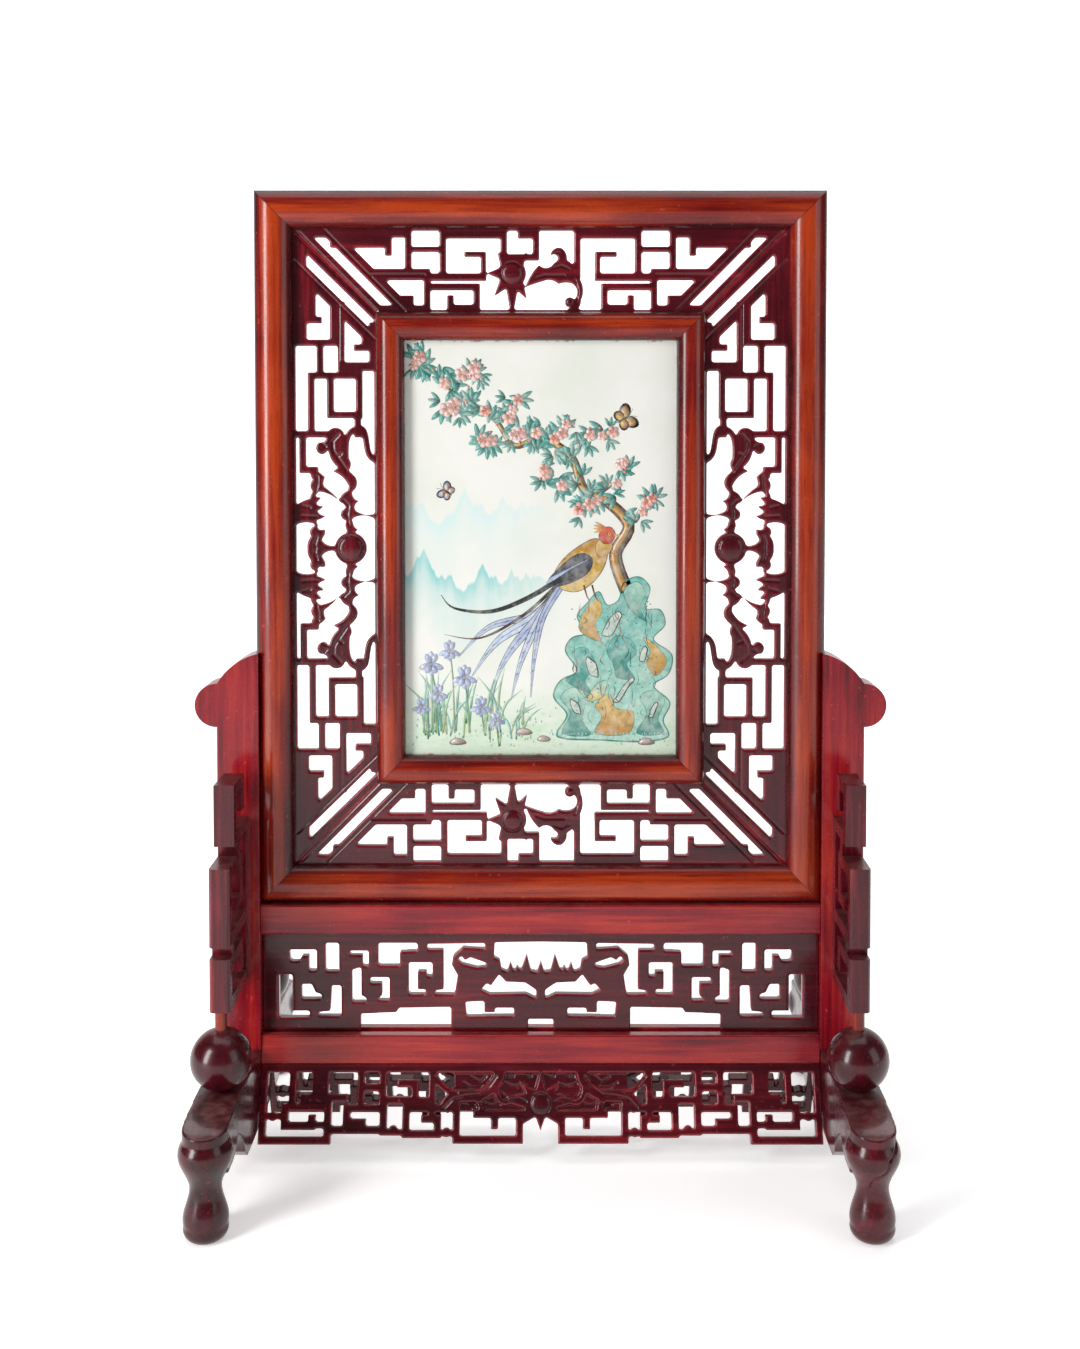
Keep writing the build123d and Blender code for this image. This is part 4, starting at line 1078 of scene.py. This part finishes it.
def paint_bird():
    """A long-tailed bird on the rock, ochre above, its tail lavender and black."""
    brush = Painter(7)
    for end, width, tone in (
        ((-50, -66), 3.4, LAVENDER), ((-42, -78), 4.6, PALE_BLUE), ((-31, -88), 4.4, LAVENDER),
        ((-18, -92), 3.6, PALE_BLUE), ((-6, -90), 2.6, LAVENDER),
    ):
        u, v = end
        way = [(14, -20), (2 + u * 0.1, -34 + v * 0.08), (u * 0.62, v * 0.72), end]
        brush.stroke(way, (4.4, width + 1.2, 0.5), INK, INK, steps=24)
        brush.stroke(way, (3.6, width + 0.4, 0.3), tone, PALE_BLUE, steps=24)
        brush.stroke(way, (0.4, 0.45, 0.1), INK, LAVENDER, steps=24)
        for k in range(7):
            spot = along_path(way, 0.3 + 0.08 * k)
            brush.dab(spot.x - 1.5, spot.y - 1, 3.0, 0.7, 35, LAVENDER, INK)
    plume = [(12, -18), (-8, -30), (-30, -38), (-52, -36), (-60, -28)]
    brush.stroke(plume, (3.2, 2.4, 0.3), INK, INK, steps=24)
    brush.stroke([(12, -20), (-10, -40), (-36, -54), (-58, -52)], (2.2, 1.6, 0.2), INK, UMBER, steps=24)
    body = [(40, 2), (33, 6), (24, 2), (14, -6), (8, -16), (12, -24), (22, -26), (32, -20), (39, -9)]
    brush.patch(body, STRAW, OCHRE, UMBER, 0.6)
    brush.patch([(37, 6), (33, 2), (35, -5), (41, -3), (43, 3)], OCHRE, STRAW, UMBER, 0.5)
    for k in range(38):
        row, step = divmod(k, 6)
        u, v = 34 - 4.2 * row + step * 0.8, 1 - 4.0 * step - 1.3 * row
        if ((u - 25) / 11) ** 2 + ((v + 9) / 9.5) ** 2 < 1:
            brush.dab(u, v, 3.6, 2.4, 225, STRAW, OCHRE, 0.2)
    wing = [(31, -6), (24, -3), (14, -9), (4, -20), (9, -23), (20, -20), (29, -14)]
    brush.patch(wing, INK, SLATE, INK, 0.5)
    for k in range(7):
        quill = [(28 - 2 * k, -7 - k), (18 - 2 * k, -12 - k), (8 - k, -19 - 0.6 * k)]
        brush.stroke(quill, (0.3, 0.7, 0.15), LAVENDER, PALE_BLUE, steps=8)
    brush.patch([(45, 9), (42, 13), (37, 12), (35, 7), (38, 3), (43, 4)], MADDER, CORAL, UMBER, 0.4)
    for turn in (150, 165, 180, 196):
        brush.dab(40, 12, 8.5, 1.6, turn, CORAL, STRAW)
    brush.dab(44, 8.4, 4.2, 1.5, -12, STRAW, OCHRE, 0.5)
    brush.dab(40.6, 8.8, 1.7, 1.7, 0, STRAW, STRAW, 0)
    brush.dab(41.1, 8.8, 0.9, 0.9, 0, INK, INK, 0)
    for foot in (26, 31):
        brush.stroke([(foot, -22), (foot + 2, -29), (foot + 4, -32)], (1.2, 0.8, 0.5), UMBER, UMBER, steps=6)
    brush.finish("painted_bird", False)


def paint_irises():
    """Lavender irises among grass at the lower left, with moss on the ground."""
    brush = Painter(19)
    luck = brush.luck
    for _ in range(46):
        u = luck.uniform(-74, -8)
        v = luck.uniform(-116, -106)
        lean = luck.uniform(-16, 16)
        rise = luck.uniform(14, 44) * (0.55 if u > -24 else 1.0)
        tone = luck.choice((TEAL, SAGE, TURQUOISE))
        blade = [(u, v), (u + lean * 0.3, v + rise * 0.6), (u + lean, v + rise)]
        brush.stroke(blade, (1.0, 1.5, 0.15), tone, MINT, steps=10)
    petals = (
        (90, 1.0), (62, 0.9), (118, 0.9), (-20, 1.0), (200, 1.0), (-90, 0.9), (-58, 0.8), (238, 0.8),
    )
    for u, v, size in (
        (-66, -70, 8), (-55, -62, 7), (-46, -78, 8), (-36, -96, 7), (-62, -88, 6.5), (-27, -104, 6),
        (-72, -96, 6),
    ):
        brush.stroke([(u + 3, -112), (u + 2, v - 16), (u, v)], (1.0, 0.9, 0.7), SAGE, TEAL, steps=8)
        for turn, share in petals:
            brush.dab(u, v, size * share, size * 0.5, turn, LAVENDER, PALE_BLUE, 0.2)
            vein = [(u, v), beside(u, v, turn, 0.7 * size)]
            brush.stroke(vein, (0.35, 0.2, 0.08), VIOLET, LAVENDER, steps=2)
        brush.dab(u - 0.8, v, 1.6, 1.4, 0, STRAW, OCHRE, 0)
    for _ in range(150):
        u = luck.uniform(-78, 78)
        v = luck.triangular(-121, -88, -117)
        if u > 10:
            v = min(v, -113)
        brush.dab(u, v, luck.uniform(0.8, 2.0), 0.8, luck.uniform(60, 120), TURQUOISE, MINT)
    for u, v, wide in ((-10, -112, 5), (2, -116, 4), (-50, -118, 5), (64, -118, 5)):
        upper = [(u - wide * 0.4, v + wide * 0.6), (u + wide * 0.5, v + wide * 0.5)]
        brush.patch([(u - wide, v), *upper, (u + wide, v), (u, v - 1)], CLAY, SAND, UMBER, 0.4)
    brush.finish("painted_irises")


def paint_butterflies():
    """Two butterflies in the open space above."""
    brush = Painter(23)
    for u, v, size, turn, wing in ((50, 78, 9, 30, OCHRE), (-56, 34, 6.5, 145, LAVENDER)):
        for spread, reach, wide in ((52, 1.0, 0.72), (-52, 1.0, 0.72), (118, 0.72, 0.62), (-118, 0.72, 0.62)):
            brush.dab(u, v, size * reach * 1.08, size * wide * 1.1, turn + spread, INK, INK, 0.1)
            brush.dab(u, v, size * reach * 0.88, size * wide * 0.8, turn + spread, STRAW, wing, 0.1)
            brush.dab(*beside(u, v, turn + spread, 0.5 * size), 1.4, 1.2, 0, CORAL, CORAL, 0)
        tail, head = beside(u, v, turn, -0.5 * size), beside(u, v, turn, 0.4 * size)
        brush.stroke([tail, (u, v), head], (0.5, 1.5, 0.8), INK, UMBER, steps=6)
        for side in (-0.3, 0.3):
            middle = beside(*beside(*head, turn, 2), turn + 90, 0.4 * size * side)
            tip = beside(*beside(*head, turn, 4), turn + 90, size * side)
            brush.stroke([head, middle, tip], (0.25, 0.2, 0.3), INK, steps=6)
    brush.finish("painted_butterflies")


class SCREEN_OT_painting(bpy.types.Operator):
    """Paint the plaque with a rock, a flowering branch, a bird, irises and butterflies"""

    bl_idname = "table_screen.painting"
    bl_label = "Painting"

    def execute(self, context):
        paint_rock()
        paint_branch()
        paint_bird()
        paint_irises()
        paint_butterflies()
        return {"FINISHED"}


# Studio

# The paper runs out flat, curves up over a quarter circle and goes on as a wall
PAPER_REACH = 3.0
PAPER_WIDENING = 2.0
PAPER_CURVE = 0.6
CURVE_STEPS = 8
PAPER_WALL = 2.5
PAPER_GLOW = 0.42
WORLD_LIGHT = 0.1

# Softboxes: place, width and height, share of the main light's power, and what they aim at
SOFTBOXES = {
    "left_softbox": ((-1.2, -1.0, 0.72), (0.42, 1.25), 1.0, screen_middle),
    "right_softbox": ((1.6, -0.9, 0.8), (0.9, 1.4), 0.25, screen_middle),
    "top_softbox": ((0.0, 0.2, 2.2), (2.2, 1.6), 0.7, screen_middle),
    "back_softbox": ((0.0, 2.0, 2.0), (2.5, 1.5), 1.5, Vector((0, 2.6, 0))),
}

# The camera stands a little to the right of the middle, and its picture is shifted
CAMERA_SIDE = 0.008
CAMERA_SHIFT = (-0.0103, -0.17)
SENSOR = 36.0


def drawn_out(bm, edges):
    """Extrudes edges; gives the new points and the new far edges."""
    made = bmesh.ops.extrude_edge_only(bm, edges=edges)["geom"]
    verts = [v for v in made if isinstance(v, bmesh.types.BMVert)]
    far = [e for e in made if isinstance(e, bmesh.types.BMEdge) and all(v in verts for v in e.verts)]
    return verts, far


def sheet_of_paper():
    """The floor and the wall behind it, as one curved sheet."""
    bm = bmesh.new()
    bmesh.ops.create_grid(bm, x_segments=1, y_segments=1, size=PAPER_REACH)
    for vert in bm.verts:
        vert.co.x *= PAPER_WIDENING
    back = [e for e in bm.edges if all(v.co.y > 0 for v in e.verts)]
    for step in range(1, CURVE_STEPS + 1):
        turn = math.radians(90 * step / CURVE_STEPS)
        verts, back = drawn_out(bm, back)
        for vert in verts:
            vert.co.y = PAPER_REACH + PAPER_CURVE * math.sin(turn)
            vert.co.z = PAPER_CURVE * (1 - math.cos(turn))
    for vert in drawn_out(bm, back)[0]:
        vert.co.z += PAPER_WALL
    return meshed("floor", bm)


def paper(colour):
    """White paper that glows a little, so that it stays bright."""
    graph = Graph("floor_paper")
    speckle = graph.noise(graph.objects(), 40, 3, 0.5)
    tone = graph.ramp(speckle, [(0.3, [c * 0.985 for c in colour]), (0.7, colour)])
    glow = {"Emission Color": (1, 1, 1, 1), "Emission Strength": PAPER_GLOW}
    return graph.finish({"Base Color": tone, "Roughness": 0.7, **glow})


class SCREEN_OT_stage(bpy.types.Operator):
    """Set up the floor, the soft lights and the camera"""

    bl_idname = "table_screen.stage"
    bl_label = "Studio"

    def execute(self, context):
        scene = context.scene
        stage = scene.table_screen_stage
        floor = sheet_of_paper()
        floor.data.materials.append(paper(tuple(stage.floor)))

        world = bpy.data.worlds.new("studio")
        world.use_nodes = True
        scene.world = world
        sky = world.node_tree.nodes["Background"]
        sky.inputs["Color"].default_value = (1.0, 1.0, 1.0, 1)
        sky.inputs["Strength"].default_value = WORLD_LIGHT

        for name, (place, size, share, target) in SOFTBOXES.items():
            light = bpy.data.lights.new(name, "AREA")
            light.shape = "RECTANGLE"
            light.size, light.size_y = size
            light.energy = stage.key_power * share
            lamp = placed(name, light)
            lamp.location = place
            lamp.rotation_euler = (target - Vector(place)).to_track_quat("-Z", "Y").to_euler()

        lens = bpy.data.cameras.new("camera")
        lens.lens = stage.focal
        lens.sensor_width = SENSOR
        lens.shift_x, lens.shift_y = CAMERA_SHIFT
        camera = placed("camera", lens)
        camera.location = (CAMERA_SIDE, -stage.distance, stage.height)
        camera.rotation_euler = (math.radians(90) - stage.pitch, 0, 0)
        scene.camera = camera
        scene.view_settings.view_transform = "Standard"
        return {"FINISHED"}


# Panel and registration


class SCREEN_PT_panel(bpy.types.Panel):
    """Lists the steps that finish the table screen"""

    bl_label = "Table Screen"
    bl_idname = "SCREEN_PT_panel"
    bl_space_type = "VIEW_3D"
    bl_region_type = "UI"
    bl_category = "Table Screen"

    def draw(self, context):
        layout = self.layout
        for group in ("table_screen_wood", "table_screen_carving", "table_screen_stage"):
            box = layout.box()
            owner = getattr(context.scene, group)
            for name in owner.bl_rna.properties.keys():
                if name not in ("rna_type", "name"):
                    box.prop(owner, name)
        for step in STEPS:
            layout.operator(step.bl_idname)


STEPS = (
    SCREEN_OT_frame_members,
    SCREEN_OT_brads,
    SCREEN_OT_stand_members,
    SCREEN_OT_pierced_panels,
    SCREEN_OT_feet,
    SCREEN_OT_plaque,
    SCREEN_OT_painting,
    SCREEN_OT_stage,
)
CLASSES = (WoodSettings, CarvingSettings, StageSettings, *STEPS, SCREEN_PT_panel)


def register():
    for made in CLASSES:
        bpy.utils.register_class(made)
    bpy.types.Scene.table_screen_wood = PointerProperty(type=WoodSettings)
    bpy.types.Scene.table_screen_carving = PointerProperty(type=CarvingSettings)
    bpy.types.Scene.table_screen_stage = PointerProperty(type=StageSettings)


def unregister():
    del bpy.types.Scene.table_screen_stage
    del bpy.types.Scene.table_screen_carving
    del bpy.types.Scene.table_screen_wood
    for made in reversed(CLASSES):
        bpy.utils.unregister_class(made)


def main():
    for leftover in [o for o in bpy.data.objects if not o.get("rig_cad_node") and o.type != "EMPTY"]:
        bpy.data.objects.remove(leftover)
    register()
    for step in STEPS:
        group, name = step.bl_idname.split(".")
        getattr(getattr(bpy.ops, group), name)()
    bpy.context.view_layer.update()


if __name__ == "__main__":
    main()
